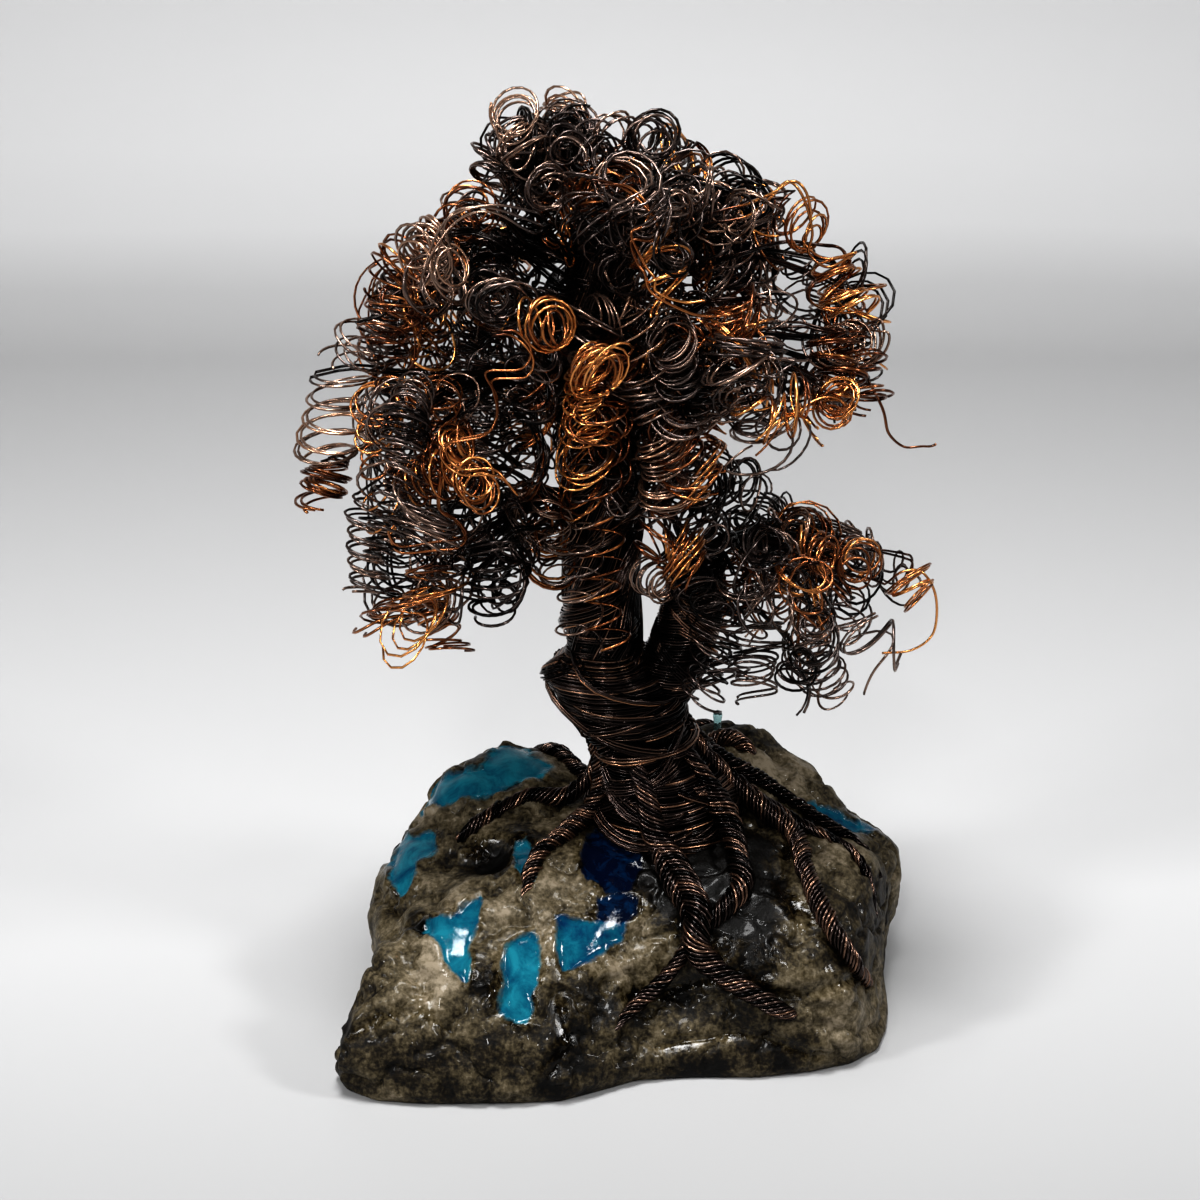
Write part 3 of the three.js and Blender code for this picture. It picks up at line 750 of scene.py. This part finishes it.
# Roots: the place that each passes and the place where it ends, as shares of the rock's reach, how
# thick it is as a share of the thickest, how copper it shows, and the length of its lay
ROOTS = [
    ((-0.36, 0.14), (-0.66, 0.02), 0.61, 0.28, 14),
    ((-0.26, -0.14), (-0.4, -0.52), 0.70, 0.36, 13),
    ((0.18, -0.42), (0.56, -0.78), 0.92, 0.22, 18),
    ((0.15, -0.45), (-0.07, -0.84), 0.6, 0.15, 14),
    ((0.48, -0.26), (0.36, -0.6), 0.86, 0.2, 16),
    ((0.6, -0.18), (0.84, -0.52), 0.7, 0.32, 14),
    ((0.6, 0.22), (0.91, -0.06), 0.5, 0.14, 13),
    ((0.66, 0.02), (0.89, -0.22), 0.46, 0.16, 13),
    ((0.3, 0.42), (0.46, 0.4), 0.79, 0.5, 15),
    ((0.12, 0.5), (0.4, 0.84), 0.61, 0.2, 14),
    ((-0.2, 0.42), (-0.42, 0.8), 0.64, 0.2, 14),
]


def winding_root(path, radius):
    """A line half bedded in the stone where a path over it shows, with its end turned into it."""
    spots = []
    for number, (across, up) in enumerate(path, 1):
        ray = Vector(from_view(across, up, 0) - CAMERA_AT).normalized()
        spot, normal = rock_tree.ray_cast(Vector(CAMERA_AT * MM), ray)[:2]
        out = ROOT_TIP_OUT if number == len(path) else 1 - ROOT_BED
        spots.append(np.array(spot) / MM + np.array(normal) * out * radius)
    return resample(rounded(np.array(spots), 8), 3)[0]


def bedded_root(by, end, girth):
    """A line from the trunk's foot by one place on the stone to another, half bedded in it."""
    foot = mix(np.array([FOOT_X, FOOT_Y, 0.0]), rock_place(*by), ROOT_INSIDE)
    t = np.linspace(0, 1, 28)
    middle = 2 * rock_place(*by) - (foot + rock_place(*end)) / 2
    line = bezier(foot, middle, rock_place(*end), t)
    radius = mix(1, ROOT_TIP, t) * girth * ROOT_RADIUS
    above = ROOT_RISE * (1 - smooth(t, ROOT_TOP_AT, ROOT_DOWN_AT))
    ground = np.array([rock_height(x, y) for x, y, _ in line])
    for _ in range(3):
        ground[1:-1] = (ground[:-2] + ground[1:-1] + ground[2:]) / 3
    line[:, 2] = ground + (1 - ROOT_BED) * radius + above
    line[-1, 2] -= radius[-1]
    return line[3:]


def root_line(by, end, girth, path):
    """A root's line and its radius along it: down the trunk's side, then over the stone."""
    thick = girth * ROOT_RADIUS
    line = winding_root(path, thick) if path else bedded_root(by, end, girth)
    way = math.atan2(*(line[1, 1::-1] - [FOOT_Y, FOOT_X]))
    tops = np.linspace(line[0, 2] + 24, line[0, 2] + 4, 8)
    side = np.array([on_trunk(np.array(h), np.array(way), thick * 0.25) for h in tops])
    line = np.concatenate([side, line[3:]])
    for _ in range(4):
        line[1:-1] = (line[:-2] + 2 * line[1:-1] + line[2:]) / 4
    girths = np.array([0.5, 0.95, ROOT_TIP]) * thick
    return line, np.interp(np.linspace(0, 1, len(line)), [0, 0.3, 1], girths)


def lay_roots(wires):
    rng = np.random.default_rng(23)
    for number, (by, end, girth, tint, lay) in enumerate(ROOTS):
        line, radius = root_line(by, end, girth, ROOT_WAYS.get(number))
        radius[-3:] *= [0.9, 0.75, 0.5]
        along = np.linspace(0, 1, len(line))
        swing = wave(rng, along, 8, 13) * smooth(along, 0.25, 0.5)
        line[:, :2] += swing[:, None] * rng.normal(0, 1.1, 2)
        radius *= 1 + 0.1 * wave(rng, along, 12, 20)
        way = 1 if number % 2 else -1
        cable(wires, rng, line, radius, lay, 0.75 * tint, way, spread=0.16, thick=0.5)


def stub_line():
    start = [STUB_REACH - STUB_INSIDE, FOOT_Y, BURR_TOP - STUB_BELOW]
    end = [STUB_REACH, FOOT_Y - STUB_FORWARD, STUB_TOP]
    knee = [STUB_REACH, FOOT_Y - STUB_FORWARD / 2, mix(start[2], end[2], STUB_KNEE)]
    t = np.linspace(0, 1, 30)
    return bezier(start, knee, end, t) - [1.2, 0, 0], mix(STUB_FLARE, STUB_TAPER, t) * STUB_RADIUS * 1.06


def wind_stub(wires):
    rng = np.random.default_rng(31)
    line, radius = stub_line()
    cable(wires, rng, line, radius, 26, 0.12, way=1)
    line, at = resample(line, 1.6)
    tangent, side, other = frames_along(line)
    for _ in range(12):
        first = int(rng.integers(0, len(line) - 12))
        span = slice(first, first + int(rng.integers(8, 13)))
        turn = any_turn(rng) + np.linspace(0, rng.uniform(2, 5), len(line[span])) * rng.choice([-1, 1])
        out = STUB_RADIUS * mix(STUB_FLARE, STUB_TAPER, at[span] / at[-1]) + 0.5
        band = []
        for k in range(int(rng.integers(2, 6))):
            shift = k * WIRE_SPACING * 1.1
            band.append(line[span] + circling(turn, out, side[span], other[span]) + shift * tangent[span])
        wires.add(band, WIRE_RADIUS, np.clip(rng.uniform(0.05, 0.5), 0, 1))


bound = Wires()
wind_trunk(bound)
lay_roots(bound)
wind_stub(bound)
bound_mesh = bound.mesh("wound_trunk_and_roots")
# The wound wires wear the darker copy of the wire, painted shade under the canopy
new_object("wound_trunk_and_roots", bound_mesh, [bound_wire_in_painted_shade], "dark_wire", "trunk_and_roots")


# Foliage

# Branches: each one's height on the trunk as a share of its top, the way it grows in degrees, its
# reach as a share of the canopy's half width, and how far its tip lifts and its middle arches. Then
# how many bundles of wire it spreads into, how far they fan in degrees, how far they hang and how far
# they rise over it, both in mm at least and at most, and the share of them that shows copper
SPRAYS = {
    "crown_left": (1, 162, 0.28, 1, 0.2, 22, 70, (-4, 18), (-10, 0), 0.18),
    "crown_right": (0.97, 0, 0.46, 0.4, 0.4, 34, 95, (-2, 18), (-9, 4), 0.12),
    "upper_left": (0.9, 166, 0.68, -0.05, 0.55, 30, 36, (10, 38), (-8, 12), 0.33),
    "left": (0.78, 192, 0.74, 0, 0.25, 26, 30, (16, 50), (-7, 9), 0.2),
    "lower_left": (0.64, 207, 0.66, -0.1, 0.3, 20, 34, (10, 32), (-8, 8), 0.25),
    "front": (0.86, 266, 0.38, 0.1, 0.2, 10, 50, (30, 62), (-6, 6), 0.45),
    "front_right": (0.74, 302, 0.36, 0.1, 0.2, 10, 40, (14, 36), (-8, 8), 0.3),
    "upper_right": (0.91, 29, 0.8, 0.05, 0.25, 29, 36, (14, 40), (-6, 16), 0.22),
    "right": (0.84, 338, 0.8, -0.12, 0.25, 26, 30, (2, 17), (-6, 14), 0.3),
    "back_right": (0.76, 60, 0.6, 0, 0.3, 15, 40, (8, 28), (-7, 12), 0.15),
    "back_left": (0.84, 118, 0.6, 0, 0.3, 15, 40, (20, 50), (-7, 10), 0.15),
}

# The branch that grows from the stub's top, in the same way
LOW_SPRAY = (-4, 0.54, -0.1, 0.45, 28, 55, (8, 36), (-8, 8), 0.25)


def coiled(rng, axis, turns, radius, count, lean, faces=None):
    """count wires side by side, coiled together round an axis of points: wires by points by 3. The
    loops lean out of square to the axis, until they lie along it and face the given way, open a
    little over the first turn, and part towards their tips."""
    t = np.linspace(0, 1, int(turns * STEPS_A_TURN) + 1)
    line = np.stack([np.interp(t, np.linspace(0, 1, len(axis)), axis[:, i]) for i in range(3)], 1)
    tangent, side, other = frames_along(line)
    if faces is None:
        towards = any_turn(rng)
    else:
        towards = math.atan2(-faces @ side[0], faces @ other[0])
    towards = (towards + rng.uniform(-0.8, 0.8) * t)[:, None]
    first = np.cos(towards) * side + np.sin(towards) * other
    square = np.cross(tangent, first)
    tilt = (lean * (1 + 0.25 * wave(rng, t, 3, 7)))[:, None]
    second = np.cos(tilt) * square + np.sin(tilt) * tangent
    uneven = turns * t + 0.12 * wave(rng, t, 5, 14)
    angle = any_turn(rng) + rng.choice([-1, 1]) * 2 * math.pi * uneven
    opened = mix(0.7, 1, smooth(t * turns, 0, 0.8)) * mix(1, rng.uniform(0.65, 1.15), t**2)
    sway = 1 + 0.16 * wave(rng, t, 4, 14)
    drift = 1.5 * wave(rng, t[:, None], 4, 14, 3)
    gap = WIRE_SPACING * rng.uniform(1.7, 3.2)
    wires = []
    for k in range(count):
        apart = (k - (count - 1) / 2) * gap
        loose = rng.normal(0, 1.4, 3) * t[:, None] ** 2
        turn = angle + rng.normal(0, 0.2) + rng.normal(0, 0.5) * t
        out = radius * opened * sway * rng.normal(1, 0.09)
        coil = line + drift * t[:, None] + loose + apart * (tangent + square) * 0.7
        wires.append(coil + circling(turn, out, first, second))
    return wires


def bundle(spray, rng, lead, lines, tint):
    """Wires that follow a lead, a little apart and darkened along it as painted shade inside the canopy, to
    where their lines begin, and then those.
    """
    wires = []
    t = np.linspace(0, 1, len(lead))[:, None]
    sway = wave(rng, t, 6, 11) * np.sin(math.pi * t) * rng.normal(0, 1.2, 3)
    for line in lines:
        way = lead + sway + rng.normal(0, 0.9, 3) * (1 - t) + (line[0] - lead[-1]) * t**2
        wires.append(np.concatenate([way[:-1], line]))
    along = np.arange(len(wires[0]))
    shades = tint + rng.normal(0, 0.08, (len(wires), 1)) + 0.12 * np.sin(along / rng.uniform(6, 12))
    # Painted shade: each wire darkens along its lead, inside the canopy
    shades = shades * smooth(along, 8, 22)
    spray.add(wires, LOOSE_RADIUS * rng.uniform(0.88, 1.06), np.clip(shades, 0, 1), skin=int(tint > 0.6))


def shown_lead(inner, end):
    """A short way to a place from between it and its branch's start."""
    start = mix(inner, end, 0.5)
    over = mix(inner, end, 0.75) + [0, 0, 5]
    start[2] = min(start[2], end[2] + 10)
    over[2] = min(over[2], end[2] + 12)
    return bezier(start, over, end, np.linspace(0, 1, LEAD_POINTS))


def grow(name, start_of, seed, toward, reach, lift, arch, count, fan, hang, rise, copper):
    """One branch's wires: bundles that leave its start, fan out and hang in coils."""
    rng = np.random.default_rng(seed)
    spray = Wires()
    length = reach * CANOPY_HALF_WIDTH
    inner = start_of()
    lead_steps = np.linspace(0, 1, LEAD_POINTS)[:, None]

    def limb(along):
        return inner + heading(toward) * length * along + up_at(along)

    def up_at(along):
        return np.array([0, 0, length]) * (lift * along + arch * 2 * along * (1 - along))

    for i in range(count):
        share = mix(0.12, 1.04, ((i + rng.uniform(0, 1)) / count) ** 0.75)
        way = heading(toward + rng.uniform(-fan, fan) * mix(1.15, 0.75, share))
        anchor = start_of(rng) + way * length * share + up_at(share) + [0, 0, rng.uniform(*rise)]
        lead = mix(limb(lead_steps * share * 0.8), anchor, smooth(lead_steps, 0.3, 1))
        out = unit(lead[-1] - lead[-3])
        drop = np.array([rng.normal(0, 5), rng.normal(0, 5), -rng.uniform(*hang)])
        drop = drop + way * rng.uniform(-2, 9)
        turns = max(2.4, np.linalg.norm(drop) / rng.uniform(6, 12))
        radius = COIL_RADIUS * rng.uniform(0.75, 1.3)
        t = np.linspace(0, 1, AXIS_POINTS)
        axis = bezier(anchor, anchor + out * radius * 1.1, anchor + drop, t)
        axis += np.sin(t[:, None] * rng.uniform(3, 6) + rng.uniform(0, 6, 3)) * 2.2 * t[:, None]
        lean = rng.uniform(0.7, 1.35) if rng.uniform() < 0.7 else rng.uniform(0.1, 0.6)
        faces = unit(rng.normal(0, 0.5, 3) + way * (1.5 if way[1] > 0.5 else 0.5) - [0, 1, 0])
        lines = coiled(rng, axis, turns, radius, int(rng.integers(1, 5)), lean, faces)
        shade = rng.uniform(0.62, 1.0) if rng.uniform() < copper else min(abs(rng.normal(0.2, 0.24)), 0.58)
        bundle(spray, rng, lead, lines, shade)
    for first, last, radius, turns, wires, tint in SHOWN_CURLS.get(name, ()):
        axis = np.linspace(from_view(*first), from_view(*last), AXIS_POINTS)
        axis += np.sin(np.linspace(0, 5, AXIS_POINTS))[:, None] * rng.normal(0, 0.8, 3)
        lines = coiled(rng, axis, turns, radius, wires, lean=0.2)
        bundle(spray, rng, shown_lead(inner, lines[0][0]), lines, tint)
    for away, wires, tint, path in SHOWN_WIRES.get(name, ()):
        path = np.array([from_view(*point, away) for point in path])
        curve = rounded(path, 7)
        sway = np.sin(np.linspace(0, 9, len(curve)) + rng.uniform(0, 6))[:, None]
        lines = [curve + [0, 0, k * 1.7] + rng.normal(0, 1.1, 3) * sway for k in range(wires)]
        bundle(spray, rng, shown_lead(inner, curve[0]), lines, tint)
    mesh = spray.mesh(f"{name}_spray")
    slot = "copper_wire" if name == "lower_right" else "dark_wire"
    new_object(f"{name}_spray", mesh, [dark_wire, copper_wire], slot, f"{name}_branch")


# Coils that show by themselves, by branch: both ends of each one's axis, in mm across and up the view
# and away from the middle, then its radius, turns, wires and tint
SHOWN_CURLS = {
    "crown_left": [
        ((-27, 155, 8), (-28, 156, -8), 6.8, 2.8, 2, 0.55),
        ((-25, 145, 4), (-21, 143, -10), 7.5, 2.5, 2, 0.45),
        ((-32, 144, 2), (-36, 133, 0), 7, 4, 2, 0.3),
        ((-13, 146, 2), (-8, 146, -12), 6.5, 3, 3, 0.2),
        ((-16, 137, -2), (-18, 128, -18), 8, 3, 2, 0.3),
        ((-4, 142, 4), (2, 140, -12), 6.5, 3, 3, 0.15),
        ((-12, 152, 8), (-7, 151, -8), 6, 3, 3, 0.15),
    ],
    "upper_left": [
        ((-51, 117, -20), (-59, 108, -28), 8, 3.5, 3, 0.5),
        ((-60, 112, -8), (-66, 100, -18), 8, 3, 2, 0.64),
        ((-40, 126, -6), (-46, 120, -18), 7.5, 3, 2, 0.62),
        ((-56, 100, -16), (-46, 106, -34), 8, 3.5, 2, 0.5),
        ((-36, 100, -20), (-32, 92, -36), 7.5, 4, 3, 0.15),
        ((-64, 96, -14), (-69, 82, -14), 9, 3, 2, 0.63),
        ((-73, 90, -6), (-79, 74, -6), 8, 3, 2, 0.35),
    ],
    "left": [
        ((-84, 73, -8), (-86, 42, -8), 9, 5, 2, 0.55),
        ((-86, 45, -4), (-90, 30, -6), 6, 4, 3, 0.62),
        ((-54, 32, -40), (-58, 18, -42), 9, 3.5, 3, 0.3),
        ((-73, 32, -20), (-75, 3, -20), 7, 6, 2, 0.3),
    ],
    "lower_left": [
        ((-68, 0, -14), (-67, -9, -14), 8, 3, 2, 0.7),
        ((-54, 3, -16), (-51, -13, -18), 6.5, 5, 3, 0.62),
        ((-38, 13, -24), (-26, 0, -24), 8, 4, 2, 0.1),
        ((-64, 38, -30), (-48, 42, -36), 6.5, 4, 3, 0.8),
        ((-52, 50, -30), (-40, 47, -40), 6, 4.5, 2, 0.72),
        ((-45, 40, -32), (-36, 35, -42), 6, 4.5, 2, 0.78),
    ],
    "front": [
        ((-26, 89, -36), (-9, 88, -42), 6.6, 7, 1, 0.82),
        ((-7, 77, -28), (3, 71, -40), 6.8, 4.5, 2, 0.68),
        ((-2, 64, -34), (-3, 51, -28), 7.5, 2.5, 2, 0.8),
        ((-4, 51, -22), (-5, -13, -18), 7.8, 8, 1, 0.45),
        ((0, 42, -20), (2, -16, -18), 7.4, 7, 1, 0.66),
    ],
    "front_right": [
        ((13, 72, -22), (17, 58, -24), 7, 4, 3, 0.35),
        ((18, 54, -22), (23, 29, -22), 7.5, 6, 3, 0.55),
        ((22, 29, -20), (13, 13, -20), 7, 3, 2, 0.66),
    ],
    "right": [
        ((43, 96, -22), (46, 86, -24), 8, 3, 3, 0.7),
        ((32, 69, -18), (34, 59, -18), 6.5, 4, 3, 0.05),
        ((73, 86, -4), (77, 66, -8), 8, 4, 2, 0.62),
        ((81, 84, 4), (86, 60, -6), 7, 5, 2, 0.61),
    ],
    "crown_right": [
        ((1, 148, 8), (7, 149, -6), 6.5, 3, 2, 0.3),
        ((12, 148, 8), (19, 147, -6), 6.5, 3, 3, 0.15),
        ((-6, 122, -10), (0, 112, -24), 8.5, 3, 2, 0.1),
        ((4, 111, -12), (9, 100, -24), 8.5, 3, 2, 0.1),
        ((13, 106, -4), (20, 99, -20), 8, 4, 3, 0.05),
        ((13, 115, -22), (24, 99, -30), 7.5, 3.5, 2, 0.9),
        ((-3, 128, -16), (0, 120, -20), 8, 3, 3, 0.15),
    ],
    "upper_right": [
        ((60, 125, 14), (70, 113, 0), 8, 3, 2, 0.8),
        ((73, 110, 8), (80, 93, -4), 7, 4.5, 2, 0.85),
    ],
    "lower_right": [
        ((96, 10, -4), (104, 0, -8), 7.5, 3, 2, 0.9),
        ((62, 18, -4), (76, 14, -14), 6.5, 3.5, 2, 0.8),
        ((80, 14, 0), (84, 8, -16), 7, 3, 2, 0.7),
        ((14, 10, -6), (21, 3, -16), 6, 3, 3, 0.4),
        ((30, 36, 2), (38, 38, -14), 6.5, 3, 3, 0.15),
        ((42, 40, 4), (52, 36, -12), 6.5, 3, 2, 0.25),
        ((28, 26, 2), (36, 20, -18), 7, 4, 3, 0.1),
        ((35, -14, 4), (38, -27, -12), 8, 3.5, 2, 0.1),
        ((28, 6, -2), (34, -2, -20), 7, 4, 2, 0.15),
        ((21, 18, -16), (32, 11, -20), 7.5, 3.5, 3, 0.85),
        ((38, -3, -8), (32, -32, -12), 7, 6, 2, 0.1),
        ((51, -6, -6), (48, -32, -12), 7.5, 5, 2, 0.25),
        ((64, -13, -8), (74, -29, -10), 7, 4, 3, 0.3),
        ((13, 42, -14), (19, 26, -16), 6.5, 4, 2, 0.2),
    ],
}

# Single wires that show, by branch: how far away, how many side by side, their tint and their path
SHOWN_WIRES = {
    "left": [
        (-44, 2, 0.8, [(-33, 84), (-27, 84), (-22, 78), (-25, 72), (-36, 71), (-34, 65), (-33, 58),
            (-36, 52), (-48, 49), (-49, 44), (-44, 40), (-34, 40), (-28, 34)]),
        (-40, 2, 0.75, [(-55, 37), (-51, 39), (-51, 31), (-46, 27), (-43, 20),
            (-46, 15), (-54, 14), (-64, 15), (-67, 22), (-65, 25)]),
    ],
    "upper_left": [
        (-34, 3, 0.45, [(-21, 119), (-34, 123), (-46, 120), (-54, 111), (-57, 100), (-52, 92)]),
    ],
    "crown_right": [
        (-34, 2, 0.72, [(0, 132), (8, 131), (14, 126), (16, 121), (14, 117), (10, 115), (14, 106),
            (17, 102), (18, 97), (27, 93), (34, 93)]),
    ],
    "upper_right": [
        (-4, 2, 0.85, [(40, 122), (48, 124), (54, 128), (60, 133), (65, 128), (68, 118), (67, 112),
            (73, 107), (81, 110)]),
    ],
    "right": [
        (-2, 1, 0.7, [(86, 70), (90, 62), (92, 54), (98, 48), (104, 49), (107, 51)]),
    ],
    "lower_right": [
        (-8, 1, 0.9, [(90, 5), (96, 9), (104, 9), (108, 2), (106, -10), (99, -16), (91, -17)]),
    ],
}


def from_trunk(height):
    def start(rng=None):
        return trunk_centre(height * TRUNK_TOP - (rng.uniform(0, 6) if rng else 0))

    return start


def from_stub(rng=None):
    return stub_line()[0][-1] - [0, 0, rng.uniform(0, 5) if rng else 0]


for number, (name, (height, *settings)) in enumerate(SPRAYS.items()):
    grow(name, from_trunk(height), 100 + number, *settings)
grow("lower_right", from_stub, 140, *LOW_SPRAY)


# Peg

# A clear pin: its shaft's heights and widths as shares of its own, how much taller than the part's it
# is, and its round head's middle and half height
PEG_SHAFT = [(0, 0.7), (0.04, 0.85), (0.3, 0.85), (0.5, 0.82), (0.62, 0.8), (0.68, 0.86)]
PEG_STRETCH, PEG_HEAD_AT, PEG_HEAD_HALF = 1.4, 0.82, 0.18
PEG_SIDES = 24


def peg_material():
    n = Nodes("clear")
    mark = n.noise(400, 3)
    n.wear(
        Base_Color=n.ramp(mark, [(0.3, (0.30, 0.52, 0.52)), (0.7, (0.5, 0.7, 0.69))]),
        Roughness=n.math("MULTIPLY_ADD", mark, 0.1, 0.03),
        Transmission_Weight=0.85,
        IOR=1.45,
    )
    return n.material


def peg_mesh():
    low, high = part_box("clear_peg")
    across, along = (low.x + high.x) / 2, (low.y + high.y) / 2
    tall = (high.z - low.z) * PEG_STRETCH
    radius = (high.x - low.x) / 2
    heights = 1 - 0.3 * np.cos(np.linspace(0.35, 1.0, 9) * math.pi / 2)
    widths = np.sqrt(np.clip(1 - ((heights - PEG_HEAD_AT) / PEG_HEAD_HALF) ** 2, 0.004, 1))
    corners = [
        (across + radius * width * math.cos(a), along + radius * width * math.sin(a), low.z + tall * height)
        for height, width in [*PEG_SHAFT, *zip(heights, widths)]
        for a in np.linspace(0, 2 * math.pi, PEG_SIDES, endpoint=False)
    ]
    rings = np.arange(len(corners)).reshape(-1, PEG_SIDES)
    faces = [*ring_faces(rings).reshape(-1, 4).tolist(), rings[0, ::-1].tolist(), rings[-1].tolist()]
    return smooth_mesh("peg", corners, faces)


new_object("round_headed_peg", peg_mesh(), [peg_material()], "clear", "clear_peg")


# Floor, backdrop, lights and camera

# Floor, in metres: its half width, front edge, the depth where it starts to bend up into a wall, the
# bend's radius and the wall's top. Then its greys, by how far up and back they lie: painted light and
# shade, darker on the floor in front and paler going back and up the bend into the wall
FLOOR_HALF, FLOOR_FRONT, BEND_AT, BEND, WALL_TOP = 2.5, -2.0, 0.85, 0.25, 2.6
GREYS_WITH_PAINTED_LIGHT = [(0.05, 0.31), (0.15, 0.44), (0.55, 0.445), (0.62, 0.48), (0.68, 0.58), (0.75, 0.6), (0.86, 0.57)]

# Lights, in metres: place, target, size, and watts. Then the room's own colour and strength
LIGHTS = {
    "top": ((-0.1, -0.15, 1.2), (0, 0, 0.1), 0.35, 13),
    "front": ((-0.15, -1.1, 0.85), (0, 0, 0.15), 0.12, 4),
    "left": ((-1.0, -0.6, 0.7), (0, 0, 0.15), 0.2, 7),
    "right": ((1.0, -0.4, 0.9), (0, 0, 0.15), 0.2, 7),
}
ROOM_COLOUR, ROOM_STRENGTH = (0.93, 0.94, 0.96, 1), 0.13


def backdrop():
    """A pale floor that sweeps up into a wall behind the object."""
    n = Nodes("paper")
    split = n.add("ShaderNodeSeparateXYZ", Vector=n.place)
    along = n.math("ADD", n.math("MULTIPLY_ADD", split.outputs["Y"], 0.5, 0.1), split.outputs["Z"])
    mottle = n.math("MULTIPLY", n.noise(3, 2), 0.03)
    # The greys paint light and shade: darker on the floor in front, paler up the bend into the wall
    stops = [(at, (grey, grey, 1.005 * grey)) for at, grey in GREYS_WITH_PAINTED_LIGHT]
    n.wear(Base_Color=n.ramp(n.math("ADD", along, mottle), stops), Roughness=0.6)
    turns = np.linspace(0, math.pi / 2, 14)
    bend = [(BEND_AT + BEND * math.sin(a), BEND * (1 - math.cos(a))) for a in turns]
    profile = [(FLOOR_FRONT, 0.0), *bend, (BEND_AT + BEND, WALL_TOP)]
    corners = [(x, y, z) for y, z in profile for x in (-FLOOR_HALF, FLOOR_HALF)]
    faces = [(i, i + 1, i + 3, i + 2) for i in range(0, len(corners) - 2, 2)]
    mesh = smooth_mesh("backdrop", corners, faces)
    mesh.materials.append(n.material)
    floor = bpy.data.objects.new("backdrop", mesh)
    collection.objects.link(floor)


def light(name, at, target, size, watts):
    data = bpy.data.lights.new(name, "AREA")
    data.size = size
    data.energy = watts
    lamp = bpy.data.objects.new(name, data)
    lamp.location = at
    lamp.rotation_euler = (Vector(target) - Vector(at)).to_track_quat("-Z", "Y").to_euler()
    collection.objects.link(lamp)


backdrop()
for name, settings in LIGHTS.items():
    light(name, *settings)

world = bpy.data.worlds.new("studio")
world.use_nodes = True
world.node_tree.nodes["Background"].inputs["Color"].default_value = ROOM_COLOUR
world.node_tree.nodes["Background"].inputs["Strength"].default_value = ROOM_STRENGTH
bpy.context.scene.world = world

lens = bpy.data.cameras.new("camera")
lens.lens = CAMERA_LENS
lens.sensor_width = 36
camera = bpy.data.objects.new("camera", lens)
camera.location = Vector(CAMERA_AT * MM)
camera.rotation_euler = (math.pi / 2 - CAMERA_DOWN, 0, 0)
collection.objects.link(camera)
bpy.context.scene.camera = camera
bpy.context.scene.view_settings.view_transform = "Standard"
bpy.context.scene.view_settings.look = "High Contrast"
